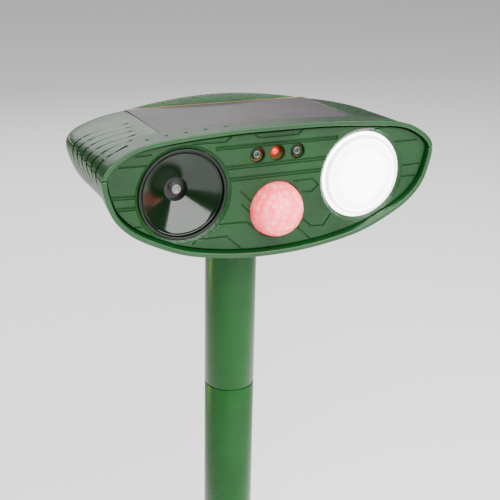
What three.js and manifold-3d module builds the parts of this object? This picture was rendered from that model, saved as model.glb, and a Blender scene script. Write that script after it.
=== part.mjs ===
// Solar ultrasonic pest repeller: an eye-shaped head on a plugged pole with a soil spike.
// Millimetres, +Z up. The origin is on the pole's axis at soil level; the head faces -Y.
// Everything in the head is drawn in the head's own frame: y is the depth behind the front rim,
// and z = 0 is the level of the two side tips. A group then sets the head on the pole.
import * as THREE from 'three';
import { mergeVertices } from 'three/addons/utils/BufferGeometryUtils.js';
import Module from 'manifold-3d';

// ---------------------------------------------------------------- driving dimensions
const HEAD_HALF_WIDTH = 80;
const HEAD_DEPTH = 79;
const PLAN_CORNER_R = 25;          // rear corners, seen from above
const REAR_EDGE_R = 6;             // rear edge, seen from the side
const WALL = 2.2;
const GAP = 0.3;                   // clearance between neighbouring pieces
const SEAM_SLOPE = 0.09;           // the shell seam climbs towards the rear
const LIP_Y = 21;                  // depth of the panel pocket's front edge
const POLE_Y = 52.2;               // pole axis behind the front rim
const POLE_R = 13;
const POLE_WALL = 1.6;
const POLE_TOP_Z = -27;            // head frame: top end of the upper tube
const TUBE_LENGTH = 105;
const SPIGOT_LENGTH = 20;
const SOCKET_TOP_Z = -24.3;
const SOCKET_BOTTOM_Z = -47;
const SPIKE_CUP_LENGTH = 20;
const FLANGE_R = 22;
const FLANGE_THICK = 2.6;
const BLADE_LENGTH = 103;
const LAMP_X = 43.72;              // horn on the left, lamp on the right
const LAMP_Z = -10.45;
const PANEL_FRONT_Y = 2.5;
const PANEL_THICK = 2.2;
const PANEL_BACK_Y = PANEL_FRONT_Y + PANEL_THICK;
const BORE_R = 20.3;               // openings for horn and lamp
const COUNTERBORE_R = 21.8;
const LED_PITCH = 9.7;
const LED_Z = 4.1;
const LED_HOLE_R = 3.25;
const PIR_Z = -21.5;
const PIR_R = 12.4;
const SOLAR_HALF_WIDTH = 47.4;
const SOLAR_FRONT_Y = 20.9;
const SOLAR_BACK_Y = 72.8;
const SOLAR_TOP_Z = 12.8;
const TRAY_TOP_Z = 10.2;           // floor of the panel pocket
const CELL_R = 7;
const CELL_LENGTH = 50.2;
const DOOR_HALF_WIDTH = 32;
const DOOR_BOTTOM_Z = -26.2;
const DOOR_TOP_Z = 5.4;
const HINGE_Y = 81.2;
const HINGE_Z = -28.6;
const KNOB_X = 43;
const KNOB_Z = -2;
const CONTROL_X = 40;              // power button on the right, USB socket on the left
const CONTROL_Z = -17;

const ROUND = 30;                  // facets round a large part
const SMALL_ROUND = 12;
const FORM_POINTS = 44;            // corners of the head's outer and inner outlines
const HOLLOW_POINTS = 28;

// Half outlines of the head, from top centre over the tip to bottom centre, as [x, z].
const BOTTOM_BEHIND_RIM = [
  [78.7, -4.5], [74, -14], [65.5, -22], [54.5, -28.3], [41, -33.8], [27, -37.4], [13, -39.2], [0, -39.7],
];
const OUTLINE_RIM = [
  [0, 17], [20, 16.9], [40, 15.9], [56, 14.4], [66, 12.3], [73.5, 8.4], [78.3, 4.2], [80, 0],
  [79, -7.5], [75.5, -17], [68.5, -24.7], [58, -31], [44, -36.9], [28, -40.3], [13, -42], [0, -42.4],
];
const OUTLINE_LIP = [
  [0, 14.6], [20, 14.3], [40, 13.5], [54, 12.6], [64, 11.3], [72, 9.2], [77.6, 6.4], [80, 2.5],
  ...BOTTOM_BEHIND_RIM,
];
const OUTLINE_REAR = [
  [0, 16.9], [20, 16.1], [40, 14], [54, 11.7], [64, 10.3], [71.5, 8.5], [77.5, 6.1], [80, 2.5],
  ...BOTTOM_BEHIND_RIM,
];

const wasm = await Module();
wasm.setup();

// ---------------------------------------------------------------- solids
/** Welds a geometry into a closed mesh with its faces pointing out. */
function weld(geometry) {
  for (const name of ['normal', 'uv', 'uv1']) geometry.deleteAttribute(name);
  const welded = mergeVertices(geometry, 1e-5);
  const source = welded.index.array;
  const position = welded.attributes.position;
  const a = new THREE.Vector3();
  const b = new THREE.Vector3();
  const c = new THREE.Vector3();
  const index = [];
  let volume = 0;
  for (let i = 0; i < source.length; i += 3) {
    const [p, q, r] = [source[i], source[i + 1], source[i + 2]];
    if (p === q || q === r || r === p) continue;
    index.push(p, q, r);
    a.fromBufferAttribute(position, p);
    b.fromBufferAttribute(position, q);
    c.fromBufferAttribute(position, r);
    volume += a.dot(b.cross(c));
  }
  welded.setIndex(volume < 0 ? index.reverse() : index);
  return welded;
}

function toManifold(geometry) {
  const welded = weld(geometry.clone());
  return new wasm.Manifold(new wasm.Mesh({
    numProp: 3,
    vertProperties: new Float32Array(welded.attributes.position.array),
    triVerts: new Uint32Array(welded.index.array),
  }));
}

function toGeometry(manifold) {
  const mesh = manifold.getMesh();
  const geometry = new THREE.BufferGeometry();
  geometry.setAttribute('position', new THREE.BufferAttribute(new Float32Array(mesh.vertProperties), 3));
  geometry.setIndex(new THREE.BufferAttribute(new Uint32Array(mesh.triVerts), 1));
  return geometry;
}

function join(base, ...others) {
  return toGeometry(others.reduce((sum, other) => sum.add(toManifold(other)), toManifold(base)));
}

function cut(base, ...tools) {
  return toGeometry(tools.reduce((rest, tool) => rest.subtract(toManifold(tool)), toManifold(base)));
}

function common(base, other) {
  return toGeometry(toManifold(base).intersect(toManifold(other)));
}

/** Box between two corners. */
function block([x0, y0, z0], [x1, y1, z1]) {
  return new THREE.BoxGeometry(x1 - x0, y1 - y0, z1 - z0)
    .translate((x0 + x1) / 2, (y0 + y1) / 2, (z0 + z1) / 2);
}

/** Solid of revolution about the Y direction through (x, z); profile points are [radius, y]. */
function turnedY(profile, x = 0, z = 0, segments = SMALL_ROUND) {
  const points = profile.map(([r, y]) => new THREE.Vector2(r, y));
  return weld(new THREE.LatheGeometry(points, segments)).translate(x, 0, z);
}

/** Solid of revolution about the Z direction through (x, y); profile points are [radius, z]. */
function turnedZ(profile, x = 0, y = 0, segments = SMALL_ROUND) {
  return turnedY(profile, 0, 0, segments).rotateX(Math.PI / 2).translate(x, y, 0);
}

/** Solid of revolution about the X direction through (y, z); profile points are [radius, x]. */
function turnedX(profile, y = 0, z = 0, segments = SMALL_ROUND) {
  return turnedY(profile, 0, 0, segments).rotateZ(-Math.PI / 2).translate(0, y, z);
}

const rodProfile = (r, from, to) => [[0, from], [r, from], [r, to], [0, to]];

/** Flat shape in the XZ plane, given thickness from y0 to y1. */
function slab(shape, y0, y1) {
  return new THREE.ExtrudeGeometry(shape, { depth: y1 - y0, bevelEnabled: false, curveSegments: 3 })
    .rotateX(Math.PI / 2).translate(0, y1, 0);
}

function roundedRect(x0, z0, x1, z1, r) {
  const shape = new THREE.Shape();
  shape.moveTo(x0 + r, z0);
  shape.lineTo(x1 - r, z0).absarc(x1 - r, z0 + r, r, -Math.PI / 2, 0);
  shape.lineTo(x1, z1 - r).absarc(x1 - r, z1 - r, r, 0, Math.PI / 2);
  shape.lineTo(x0 + r, z1).absarc(x0 + r, z1 - r, r, Math.PI / 2, Math.PI);
  shape.lineTo(x0, z0 + r).absarc(x0 + r, z0 + r, r, Math.PI, 1.5 * Math.PI);
  return shape;
}

// ---------------------------------------------------------------- the head's form
const mix = (a, b, k) => a + (b - a) * k;
const clamp01 = (k) => Math.min(Math.max(k, 0), 1);
const ease = (k) => clamp01(k) ** 2 * (3 - 2 * clamp01(k));

function closedCurve(half) {
  const left = half.slice(1, -1).reverse().map(([x, z]) => [-x, z]);
  const points = [...half, ...left].map(([x, z]) => new THREE.Vector3(x, 0, z));
  return new THREE.CatmullRomCurve3(points, true, 'catmullrom', 0.5);
}

const RIM_CURVE = closedCurve(OUTLINE_RIM);
const LIP_CURVE = closedCurve(OUTLINE_LIP);
const REAR_CURVE = closedCurve(OUTLINE_REAR);

const roundOff = (r, into) => r - Math.sqrt(Math.max(r * r - Math.max(into, 0) ** 2, 0));

/** Outline point of the head at depth y, t running once round from top centre. */
function headPoint(t, y) {
  const toLip = clamp01(y / LIP_Y);
  const toRear = ease((y - LIP_Y) / 45);
  const p = RIM_CURVE.getPoint(t).lerp(LIP_CURVE.getPoint(t), toLip).lerp(REAR_CURVE.getPoint(t), toRear);
  const planInset = roundOff(PLAN_CORNER_R, y - (HEAD_DEPTH - PLAN_CORNER_R));
  const edgeInset = roundOff(REAR_EDGE_R, y - (HEAD_DEPTH - REAR_EDGE_R));
  const height = p.z > 0 ? OUTLINE_REAR[0][1] : -OUTLINE_REAR.at(-1)[1];
  return new THREE.Vector2(p.x * (1 - planInset / HEAD_HALF_WIDTH), p.z * (1 - edgeInset / height));
}

/** The outline at depth y, moved inwards by inset. */
function headOutline(y, inset = 0, count = FORM_POINTS) {
  const points = [];
  for (let i = 0; i < count; i += 1) {
    const t = i / count;
    const before = headPoint((t + 1 - 0.004) % 1, y);
    const after = headPoint((t + 0.004) % 1, y);
    const along = after.sub(before).normalize();
    const inward = new THREE.Vector2(along.y, -along.x);
    points.push(headPoint(t, y).addScaledVector(inward, inset));
  }
  return points;
}

/** Closed skin over rings of equal length, with a fan over each end. */
function loft(rings) {
  const count = rings[0].length;
  const positions = rings.flat().flatMap((p) => [p.x, p.y, p.z]);
  const index = [];
  for (let j = 0; j + 1 < rings.length; j += 1) {
    for (let i = 0; i < count; i += 1) {
      const a = j * count + i;
      const b = j * count + ((i + 1) % count);
      index.push(a, b, a + count, b, b + count, a + count);
    }
  }
  const ends = [[0, rings[0], false], [(rings.length - 1) * count, rings.at(-1), true]];
  for (const [first, ring, flip] of ends) {
    const centre = ring.reduce((sum, p) => sum.add(p), new THREE.Vector3()).divideScalar(count);
    const hub = positions.length / 3;
    positions.push(centre.x, centre.y, centre.z);
    for (let i = 0; i < count; i += 1) {
      const a = first + i;
      const b = first + ((i + 1) % count);
      index.push(...(flip ? [a, b, hub] : [b, a, hub]));
    }
  }
  const geometry = new THREE.BufferGeometry();
  geometry.setAttribute('position', new THREE.Float32BufferAttribute(positions, 3));
  geometry.setIndex(index);
  return weld(geometry);
}

const ring3 = (outline, y) => outline.map((p) => new THREE.Vector3(p.x, y, p.y));

const FORM_DEPTHS = [0, LIP_Y, 38, 54, 63, 69, 73, 76, 78, HEAD_DEPTH];
const HOLLOW_DEPTHS = [0, LIP_Y, 54, 65, 73, HEAD_DEPTH];

function headForm() {
  return loft(FORM_DEPTHS.map((y) => ring3(headOutline(y), y)));
}

/** The hollow inside the walls, open at the front. */
function headHollow() {
  const squeeze = (HEAD_DEPTH - WALL) / HEAD_DEPTH;
  return loft(HOLLOW_DEPTHS.map((y) => (
    ring3(headOutline(y, WALL, HOLLOW_POINTS), y === 0 ? -1 : y * squeeze))));
}

/** Height of the head's top surface. */
function topSurface(x, y) {
  const upper = headOutline(y, 0, 240).slice(0, 60);
  const far = upper.findIndex((p) => p.x >= Math.abs(x));
  const [p, q] = [upper[far - 1], upper[far]];
  return mix(p.y, q.y, (Math.abs(x) - p.x) / (q.x - p.x));
}

/** Everything below (side -1) or above (side 1) the tilted seam plane, less half a gap. */
function seamHalf(side) {
  const size = 400;
  const offset = side * (size / 2 + GAP / 2);
  const box = new THREE.BoxGeometry(size, size, size).translate(0, 0, offset);
  return box.rotateX(Math.atan(SEAM_SLOPE));
}

// ---------------------------------------------------------------- upper and lower shells
const GROOVES = [[46, 54], [38.6, 55], [31.2, 57], [23.8, 58.5], [16.4, 61.5], [9.5, 66]];
const GROOVE_HALF = 0.55;
const GROOVE_DEPTH = 0.8;
const GROOVE_END_Z = -29;
const SLOTS = [[-57.5, 9.8], [-48.7, 10.8], [-39.6, 11.7], [-30, 12.4], [-20.5, 13],
  [33.8, 17.6], [42.4, 17.6], [51, 16.8], [58.6, 15.8]];   // as [x, y]

/** One groove round the side of the head, from near the panel down to the bowl. */
function grooveTool(y, xEnd, side) {
  const upTo = (inset) => headOutline(y, inset).slice(0, FORM_POINTS / 2)
    .filter((p) => p.x >= xEnd || (p.y < 0 && p.y > GROOVE_END_Z && p.x > 30));
  const profile = [...upTo(-1), ...upTo(GROOVE_DEPTH).reverse()];
  const shape = new THREE.Shape(profile.map((p) => new THREE.Vector2(p.x * side, p.y)));
  return slab(shape, y - GROOVE_HALF, y + GROOVE_HALF);
}

const grooveTools = () => GROOVES.flatMap(([y, xEnd]) => [grooveTool(y, xEnd, 1), grooveTool(y, xEnd, -1)]);

/** Short slots in front of the panel. */
function slotTools() {
  return SLOTS.map(([x, y]) => {
    const z = topSurface(x, y);
    return block([x - 0.7, y - 1.4, z - 0.9], [x + 0.7, y + 1.4, z + 2]);
  });
}

// Case screws come up through the bowl into the upper shell, as [x, y, head level].
const CASE_SCREWS = [[-67, 24, -14], [67, 24, -14], [-58, 61, -20], [58, 61, -20]];
const BOSS_R = 3.4;
const SCREW_R = 1.3;
const SCREW_HEAD_R = 2.4;

function upperShell(form, hollow) {
  const pocketWall = common(form, block([-50, 18.4, 8.4], [50, 75.4, 16]));
  const bosses = CASE_SCREWS.map(([x, y]) => common(form, turnedZ(rodProfile(BOSS_R, 0, 16), x, y)));
  const half = common(join(cut(form, hollow), pocketWall, ...bosses), seamHalf(1));
  const pocket = block([-SOLAR_HALF_WIDTH - GAP, SOLAR_FRONT_Y - GAP, TRAY_TOP_Z],
    [SOLAR_HALF_WIDTH + GAP, SOLAR_BACK_Y + GAP, 30]);
  const wireHole = turnedZ(rodProfile(2, 0, 20), 36, 40);
  const pilots = CASE_SCREWS.map(([x, y]) => turnedZ(rodProfile(SCREW_R + GAP, -10, 8.6), x, y));
  return cut(half, pocket, wireHole, ...pilots, ...slotTools(), ...grooveTools());
}

function rearOpenings() {
  const tools = [slab(roundedRect(-28, -22.8, 28, 4.6, 2), 70, 90)];
  for (const side of [-1, 1]) tools.push(turnedY(rodProfile(3.5, 70, 90), side * KNOB_X, KNOB_Z));
  tools.push(turnedY(rodProfile(4.1, 70, 90), CONTROL_X, CONTROL_Z));
  const port = roundedRect(-CONTROL_X - 5, CONTROL_Z - 2.1, -CONTROL_X + 5, CONTROL_Z + 2.1, 1.5);
  tools.push(slab(port, 70, 90));
  return tools;
}

// Door hinge: a knuckle between two lugs, left and right, on a pin.
const HINGE_LUGS = [[11, 15], [24, 28]];
const KNUCKLE = [15 + GAP, 24 - GAP];
const HINGE_R = 1.9;
const HINGE_PIN_R = 0.8;

function hingeLug(x0, x1) {
  const barrel = turnedX(rodProfile(HINGE_R, x0, x1), HINGE_Y, HINGE_Z);
  const web = block([x0, 77.2, HINGE_Z - HINGE_R], [x1, HINGE_Y, HINGE_Z + 1.1]);
  return join(web, barrel);
}

function lowerShell(form, hollow) {
  const walls = common(cut(form, hollow), seamHalf(-1));
  const socket = turnedZ(rodProfile(16, SOCKET_BOTTOM_Z, SOCKET_TOP_Z), 0, POLE_Y, ROUND);
  const bosses = CASE_SCREWS.map(([x, y]) => common(common(form, seamHalf(-1)),
    turnedZ(rodProfile(BOSS_R + 0.6, -40, 10), x, y)));
  const lugs = HINGE_LUGS.flatMap(([a, b]) => [hingeLug(a, b), hingeLug(-b, -a)]);
  const bore = turnedZ(rodProfile(POLE_R + GAP, SOCKET_BOTTOM_Z - 5, POLE_TOP_Z + GAP), 0, POLE_Y, ROUND);
  const shafts = CASE_SCREWS.flatMap(([x, y, z]) => [
    turnedZ(rodProfile(SCREW_R + GAP, -40, 20), x, y),
    turnedZ(rodProfile(SCREW_HEAD_R + GAP, -40, z + GAP), x, y)]);
  const pinHoles = turnedX(rodProfile(HINGE_PIN_R + GAP, -40, 40), HINGE_Y, HINGE_Z);
  return cut(join(walls, socket, ...bosses, ...lugs), bore, pinHoles, ...shafts, ...rearOpenings(),
    ...grooveTools());
}

function caseScrew(index) {
  const [x, y, z] = CASE_SCREWS[index];
  const head = turnedZ([[0, z - 2], [SCREW_HEAD_R, z - 2], [SCREW_HEAD_R, z], [SCREW_R, z], [SCREW_R, 7.6],
    [0, 8.2]], x, y);
  const crossA = block([x - 1.5, y - 0.35, z - 3], [x + 1.5, y + 0.35, z - 1.1]);
  const crossB = block([x - 0.35, y - 1.5, z - 3], [x + 0.35, y + 1.5, z - 1.1]);
  return cut(head, crossA, crossB);
}

// ---------------------------------------------------------------- front panel
// Engraved lines, as [x, z] corners on the panel's face.
const ENGRAVED = [
  [[-40, 11.6], [-24.9, 11.3], [-22.4, 13.4]],
  [[-12, 13.8], [-9.5, 11.8], [9.5, 11.8], [12, 13.8]],
  [[-29.2, 9.2], [29.2, 9.2], [29.2, 8.1], [-29.2, 8.1]],
  [[-24.5, 0.3], [24.5, 0.3]],
  [[-24.5, -0.9], [24.5, -0.9]],
  [[-22.6, -5], [22.6, -5]],
  [[-22.6, -6.2], [22.6, -6.2]],
  [[8.2, -9.4], [17.4, -9.3], [20.7, -12.3], [17.7, -15.1], [12.8, -14.9]],
  [[-17.4, -11.7], [-12.4, -16.6]],
  [[-17.2, -17.6], [-12.9, -21.6]],
  [[-27.7, -25.2], [-14.4, -25.8], [-9.4, -30.4]],
  [[-40, -32.8], [-38.2, -30.8], [-24.2, -31.3], [-16.9, -38.2]],
  [[13.6, -27.9], [17.5, -31.6], [24.3, -32.2], [27.7, -27.5]],
  [[11, -31.6], [17.8, -38.2]],
  [[-75.5, -7.6], [-65.6, -8.1]], [[-75.2, -8.8], [-65.8, -9.2]],
  [[-74.9, -12.6], [-65.6, -13]], [[-74.4, -13.8], [-65.2, -14.1]],
  [[-72, 4.6], [-60.6, 4.3]], [[-64.7, 8.6], [-58.2, 8.6]], [[-68, -21.6], [-62, -21.9]],
  [[48.8, 10.4], [50.4, 11.2], [60, 11.4]],
  [[64.6, -7.8], [74.9, -7.7]], [[65, -13.2], [73, -13.3]], [[59.4, 3.9], [72, 4]],
];
const ENGRAVE_HALF = 0.35;
const ENGRAVE_DEPTH = 0.5;

/** A straight engraved stroke between two points. */
function stroke([x0, z0], [x1, z1]) {
  const length = Math.hypot(x1 - x0, z1 - z0);
  return new THREE.BoxGeometry(length + 2 * ENGRAVE_HALF, 2 * ENGRAVE_DEPTH, 2 * ENGRAVE_HALF)
    .rotateY(-Math.atan2(z1 - z0, x1 - x0))
    .translate((x0 + x1) / 2, PANEL_FRONT_Y, (z0 + z1) / 2);
}

const engravings = () => ENGRAVED.flatMap((line) => line.slice(1).map((end, i) => stroke(line[i], end)));

const BOARD_SCREWS = [[-14.5, -8.5], [14.5, -8.5]];
const BOARD_Y = 14;

function frontPanel() {
  const outline = new THREE.Shape(headOutline(PANEL_BACK_Y, WALL + 1.5 * GAP, HOLLOW_POINTS));
  const plate = slab(outline, PANEL_FRONT_Y, PANEL_BACK_Y);
  const post = rodProfile(2.7, PANEL_BACK_Y - 0.5, BOARD_Y - GAP);
  const posts = BOARD_SCREWS.map(([x, z]) => turnedY(post, x, z));
  const bore = [[0, -1], [COUNTERBORE_R, -1], [COUNTERBORE_R, PANEL_FRONT_Y],
    [BORE_R, PANEL_FRONT_Y + 1.4], [BORE_R, 8], [0, 8]];
  const tools = [-LAMP_X, LAMP_X].map((x) => turnedY(bore, x, LAMP_Z, ROUND));
  tools.push(turnedY(rodProfile(PIR_R + GAP, 0, 8), 0, PIR_Z, ROUND));
  for (const i of [-1, 0, 1]) tools.push(turnedY(rodProfile(LED_HOLE_R, 0, 8), i * LED_PITCH, LED_Z));
  for (const [x, z] of BOARD_SCREWS) tools.push(turnedY(rodProfile(1.3, 6.5, 20), x, z));
  return cut(join(plate, ...posts), ...tools, ...engravings());
}

// ---------------------------------------------------------------- horn speaker
const HORN_LIP_Y = 5.4;
const HORN_FLANGE_R = 20.7;        // flanges that trap the horn and the lens behind the panel
const FLANGE_Y = PANEL_BACK_Y + GAP;

const speakerHorn = () => turnedY([[5.4, 12.8], [18.2, HORN_LIP_Y], [HORN_FLANGE_R, HORN_LIP_Y],
  [HORN_FLANGE_R, 6.6], [18.2, 6.6], [17.8, 7.4], [6.8, 13.8], [6.8, 17], [5.4, 17], [5.4, 12.8]],
-LAMP_X, LAMP_Z, ROUND);

const speakerRing = () => turnedY([[18.9, 3.7], [19.2, 3.4], [19.8, 3.4], [20, 3.7], [20, 5.1], [18.9, 5.1],
  [18.9, 3.7]], -LAMP_X, LAMP_Z, ROUND);

const hornPlug = () => turnedY([[0, 12.5], [1.1, 12.5], [1.3, 12.1], [1.9, 12.1], [2.2, 12.6], [2.2, 13.6],
  [1.8, 14.8], [1.8, 17.6], [0, 17.6]], -LAMP_X, LAMP_Z);

const speakerHousing = () => turnedY([[7.2, 14.2], [15, 14.2], [16, 15.2], [16, 27], [0, 27], [0, 25.4],
  [14.4, 25.4], [14.4, 15.8], [7.2, 15.8], [7.2, 14.2]], -LAMP_X, LAMP_Z, 24);

const piezoDisc = () => turnedY(rodProfile(13.5, 18.2, 18.8), -LAMP_X, LAMP_Z, 24);

// ---------------------------------------------------------------- flash lamp
const lampRing = () => turnedY([[17.5, 3.2], [17.9, 2.5], [18.7, 2.5], [19.1, 3], [19.1, 4.7], [17.5, 4.7],
  [17.5, 3.2]], LAMP_X, LAMP_Z, ROUND);

const lampLens = () => turnedY([[0, 1.9], [9, 2.1], [14.5, 2.7], [17.2, 3.4], [17.2, FLANGE_Y],
  [HORN_FLANGE_R, FLANGE_Y], [HORN_FLANGE_R, FLANGE_Y + 1.2], [17, FLANGE_Y + 1.2], [14.5, 4.4], [9, 3.8],
  [0, 3.6]], LAMP_X, LAMP_Z, ROUND);

const lampReflector = () => turnedY([[20.3, 6.6], [20.3, 7.8], [16.7, 11.2], [10.2, 16.4], [4.4, 18.6],
  [3.2, 18.6], [3.2, 17.6], [9.4, 15.4], [15.6, 10.4], [19.1, 6.6], [20.3, 6.6]], LAMP_X, LAMP_Z, ROUND);

const lampBoard = () => turnedY(rodProfile(12, 19, 20.6), LAMP_X, LAMP_Z, 24);

const lampLed = () => turnedY([[0, 15], [1.6, 15.4], [2.5, 16.6], [2.7, 18.6], [0, 18.7]], LAMP_X, LAMP_Z);

// ---------------------------------------------------------------- infrared detector and indicator row
const PIR_HEIGHT = 11.2;

function dome(r, height, baseY, steps) {
  return Array.from({ length: steps + 1 }, (_, i) => {
    const angle = (i / steps) * Math.PI / 2;
    return [r * Math.sin(angle), baseY - height * Math.cos(angle)];
  });
}

function pirLens() {
  const outside = dome(PIR_R, PIR_HEIGHT, PANEL_FRONT_Y, 5);
  const inside = dome(PIR_R - 0.9, PIR_HEIGHT - 0.9, PANEL_FRONT_Y, 5).reverse();
  const flange = [[PIR_R, FLANGE_Y], [14.6, FLANGE_Y], [14.6, FLANGE_Y + 1], [PIR_R - 0.9, FLANGE_Y + 1]];
  return turnedY([...outside, ...flange, ...inside], 0, PIR_Z, 20);
}

function pirSensor() {
  const can = turnedY([[0, 8.6], [4.2, 8.6], [4.2, 12.7], [4.8, 12.7], [4.8, 13.7], [0, 13.7]], 0, PIR_Z);
  return cut(can, block([-2, 8, PIR_Z - 1.5], [2, 9, PIR_Z + 1.5]));
}

/** A 5 mm lamp or sensor on a spacer that stands on the front board. */
function smallLamp(x, tipY) {
  return turnedY([[0, tipY], [1.3, tipY + 0.4], [2.2, tipY + 1.3], [2.5, tipY + 2.5], [2.5, tipY + 6],
    [2.9, tipY + 6], [2.9, BOARD_Y - GAP], [0, BOARD_Y - GAP]], x, LED_Z);
}

function frontBoard() {
  const plate = slab(roundedRect(-18, -34, 18, 8.6, 1), BOARD_Y, BOARD_Y + 1.6);
  const parts = [[[-12, 15, -30], [-2, 17.6, -22]], [[4, 15, -28], [13, 17, -14]],
    [[-8, 15, -6], [6, 18, 3]]];
  const holes = BOARD_SCREWS.map(([x, z]) => turnedY(rodProfile(1.5, 12, 20), x, z));
  return cut(join(plate, ...parts.map(([a, b]) => block(a, b))), ...holes);
}

function boardScrew(index) {
  const [x, z] = BOARD_SCREWS[index];
  const back = BOARD_Y + 1.6 + GAP;
  return turnedY([[0, 8], [1, 8], [1, back], [2.1, back], [2.1, back + 1.3], [0, back + 1.6]], x, z);
}

// ---------------------------------------------------------------- solar panel
const solarBoard = () => cut(block([-SOLAR_HALF_WIDTH, SOLAR_FRONT_Y, TRAY_TOP_Z + GAP],
  [SOLAR_HALF_WIDTH, SOLAR_BACK_Y, SOLAR_TOP_Z - 1]), turnedZ(rodProfile(1.2, 0, 20), 36, 40));

const solarCells = () => block([-SOLAR_HALF_WIDTH + 0.4, SOLAR_FRONT_Y + 0.4, SOLAR_TOP_Z - 1 + GAP],
  [SOLAR_HALF_WIDTH - 0.4, SOLAR_BACK_Y - 1.6, SOLAR_TOP_Z]);

// ---------------------------------------------------------------- battery
const TRAY_Y = 45.3;
const TRAY_Z = -24;
const CELL_YS = [53.8, 68.1];
const CELL_ZS = [-15.5, -1.2];

function batteryTray() {
  const outer = block([-29, TRAY_Y, TRAY_Z], [29, 75.8, 7.4]);
  return cut(outer, block([-27.8, TRAY_Y + 1.2, TRAY_Z + 1.2], [27.8, 90, 6.2]));
}

function batteryCell(index) {
  const half = CELL_LENGTH / 2;
  const turn = index % 2 ? -1 : 1;
  const profile = [[0, -half], [CELL_R, -half], [CELL_R, half - 1.2], [2.7, half - 1.2], [2.7, half],
    [0, half]];
  return turnedX(profile.map(([r, x]) => [r, x * turn]), CELL_YS[index % 2], CELL_ZS[index >> 1], 16);
}

function contactPlate(side) {
  const plates = block([side * 27.1 - 0.3, 47.6, TRAY_Z + 3], [side * 27.1 + 0.3, 74.6, 4.4]);
  const dimples = CELL_YS.flatMap((y) => CELL_ZS.map((z) => {
    const [from, to] = side > 0 ? [25.8, 27] : [-27, -25.8];
    return turnedX(rodProfile(1.8, from, to), y, z, 12);
  }));
  return join(plates, ...dimples);
}

const DOOR_Y = 80.6;

function batteryDoor() {
  const outline = roundedRect(-DOOR_HALF_WIDTH, DOOR_BOTTOM_Z, DOOR_HALF_WIDTH, DOOR_TOP_Z, 3);
  const plate = slab(outline, DOOR_Y, DOOR_Y + 2);
  const grip = [1.4, -0.4, -2.2].map((z) => block([-9, DOOR_Y + 1.8, z], [9, DOOR_Y + 2.5, z + 0.8]));
  const knuckles = [-1, 1].flatMap((side) => {
    const [a, b] = side > 0 ? KNUCKLE : [-KNUCKLE[1], -KNUCKLE[0]];
    const barrel = turnedX(rodProfile(HINGE_R, a, b), HINGE_Y, HINGE_Z);
    return [barrel, block([a, HINGE_Y - 0.6, HINGE_Z], [b, HINGE_Y + HINGE_R, DOOR_BOTTOM_Z + 0.5])];
  });
  const latch = block([-5, 75.2, 2.6], [5, DOOR_Y + 0.5, 3.8]);
  const bore = turnedX(rodProfile(HINGE_PIN_R + GAP, -40, 40), HINGE_Y, HINGE_Z);
  return cut(join(plate, ...grip, ...knuckles, latch), bore);
}

function doorSeal() {
  const frame = slab(roundedRect(-30.6, -24.8, 30.6, 5, 2), 79 + GAP, DOOR_Y - GAP);
  return cut(frame, slab(roundedRect(-28.6, -23, 28.6, 4.2, 1.4), 70, 90));
}

function hingePin(side) {
  const [from, to] = side > 0 ? [11.2, 27.8] : [-27.8, -11.2];
  return turnedX(rodProfile(HINGE_PIN_R, from, to), HINGE_Y, HINGE_Z, 16);
}

// ---------------------------------------------------------------- rear controls
const KNOB_R = 6.2;
const KNOB_BASE_Y = HEAD_DEPTH + 0.6;

function controlKnob(side) {
  const centre = side * KNOB_X;
  const faceY = KNOB_BASE_Y + 6.4;
  const cap = turnedY([[0, faceY], [4.4, faceY], [4.9, faceY + 1], [KNOB_R - 0.6, faceY + 1],
    [KNOB_R, faceY + 0.2], [KNOB_R, KNOB_BASE_Y], [0, KNOB_BASE_Y]], centre, KNOB_Z, 20);
  const flutes = Array.from({ length: 8 }, (_, i) => {
    const angle = (i + 0.5) * Math.PI / 4;
    const [x, z] = [Math.cos(angle), Math.sin(angle)].map((v) => (KNOB_R + 0.5) * v);
    return turnedY(rodProfile(1, KNOB_BASE_Y + 1.2, KNOB_BASE_Y + 9), centre + x, KNOB_Z + z, 6);
  });
  const bore = turnedY(rodProfile(3 + GAP, KNOB_BASE_Y - 1, KNOB_BASE_Y + 5), centre, KNOB_Z);
  const pointer = block([centre - 0.4, faceY - 0.6, KNOB_Z + 1], [centre + 0.4, faceY + 3, KNOB_Z + 5]);
  return cut(cap, bore, pointer, ...flutes);
}

const controlShaft = (side) => turnedY(rodProfile(3, 71.6, KNOB_BASE_Y + 4.6), side * KNOB_X, KNOB_Z);

const controlBody = (side) => cut(turnedY([[0, 65], [8, 65], [8, 71], [4.6, 71], [4.6, 75.6], [3.3, 75.6],
  [3.3, 71.3], [0, 71.3]], side * KNOB_X, KNOB_Z, 24));

function controlBoard(side) {
  const [x0, x1] = side > 0 ? [32, 52] : [-52, -32];
  return slab(roundedRect(x0, -21, x1, 5, 1), 63, 64.6);
}

const powerButton = () => turnedY([[0, 73.8], [4.7, 73.8], [4.7, 74.9], [3.7, 74.9], [3.7, 80.8],
  [3.3, 81.4], [0, 81.4]], CONTROL_X, CONTROL_Z, 24);

function powerSwitch() {
  const [x, z] = [CONTROL_X, CONTROL_Z];
  const body = block([x - 3.6, 65, z - 3.6], [x + 3.6, 70.4, z + 3.2]);
  return join(body, turnedY(rodProfile(1.4, 70, 71.7), x, z));
}

function usbSocket() {
  const [x, z] = [-CONTROL_X, CONTROL_Z];
  const shell = slab(roundedRect(x - 4.5, z - 1.7, x + 4.5, z + 1.7, 1.4), 65, 78.8);
  const mouth = slab(roundedRect(x - 4.1, z - 1.3, x + 4.1, z + 1.3, 1.1), 70, 90);
  return join(cut(shell, mouth), block([x - 3.2, 69, z - 0.35], [x + 3.2, 77, z + 0.35]));
}

const USB_COVER_Y = HEAD_DEPTH + GAP;

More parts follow.
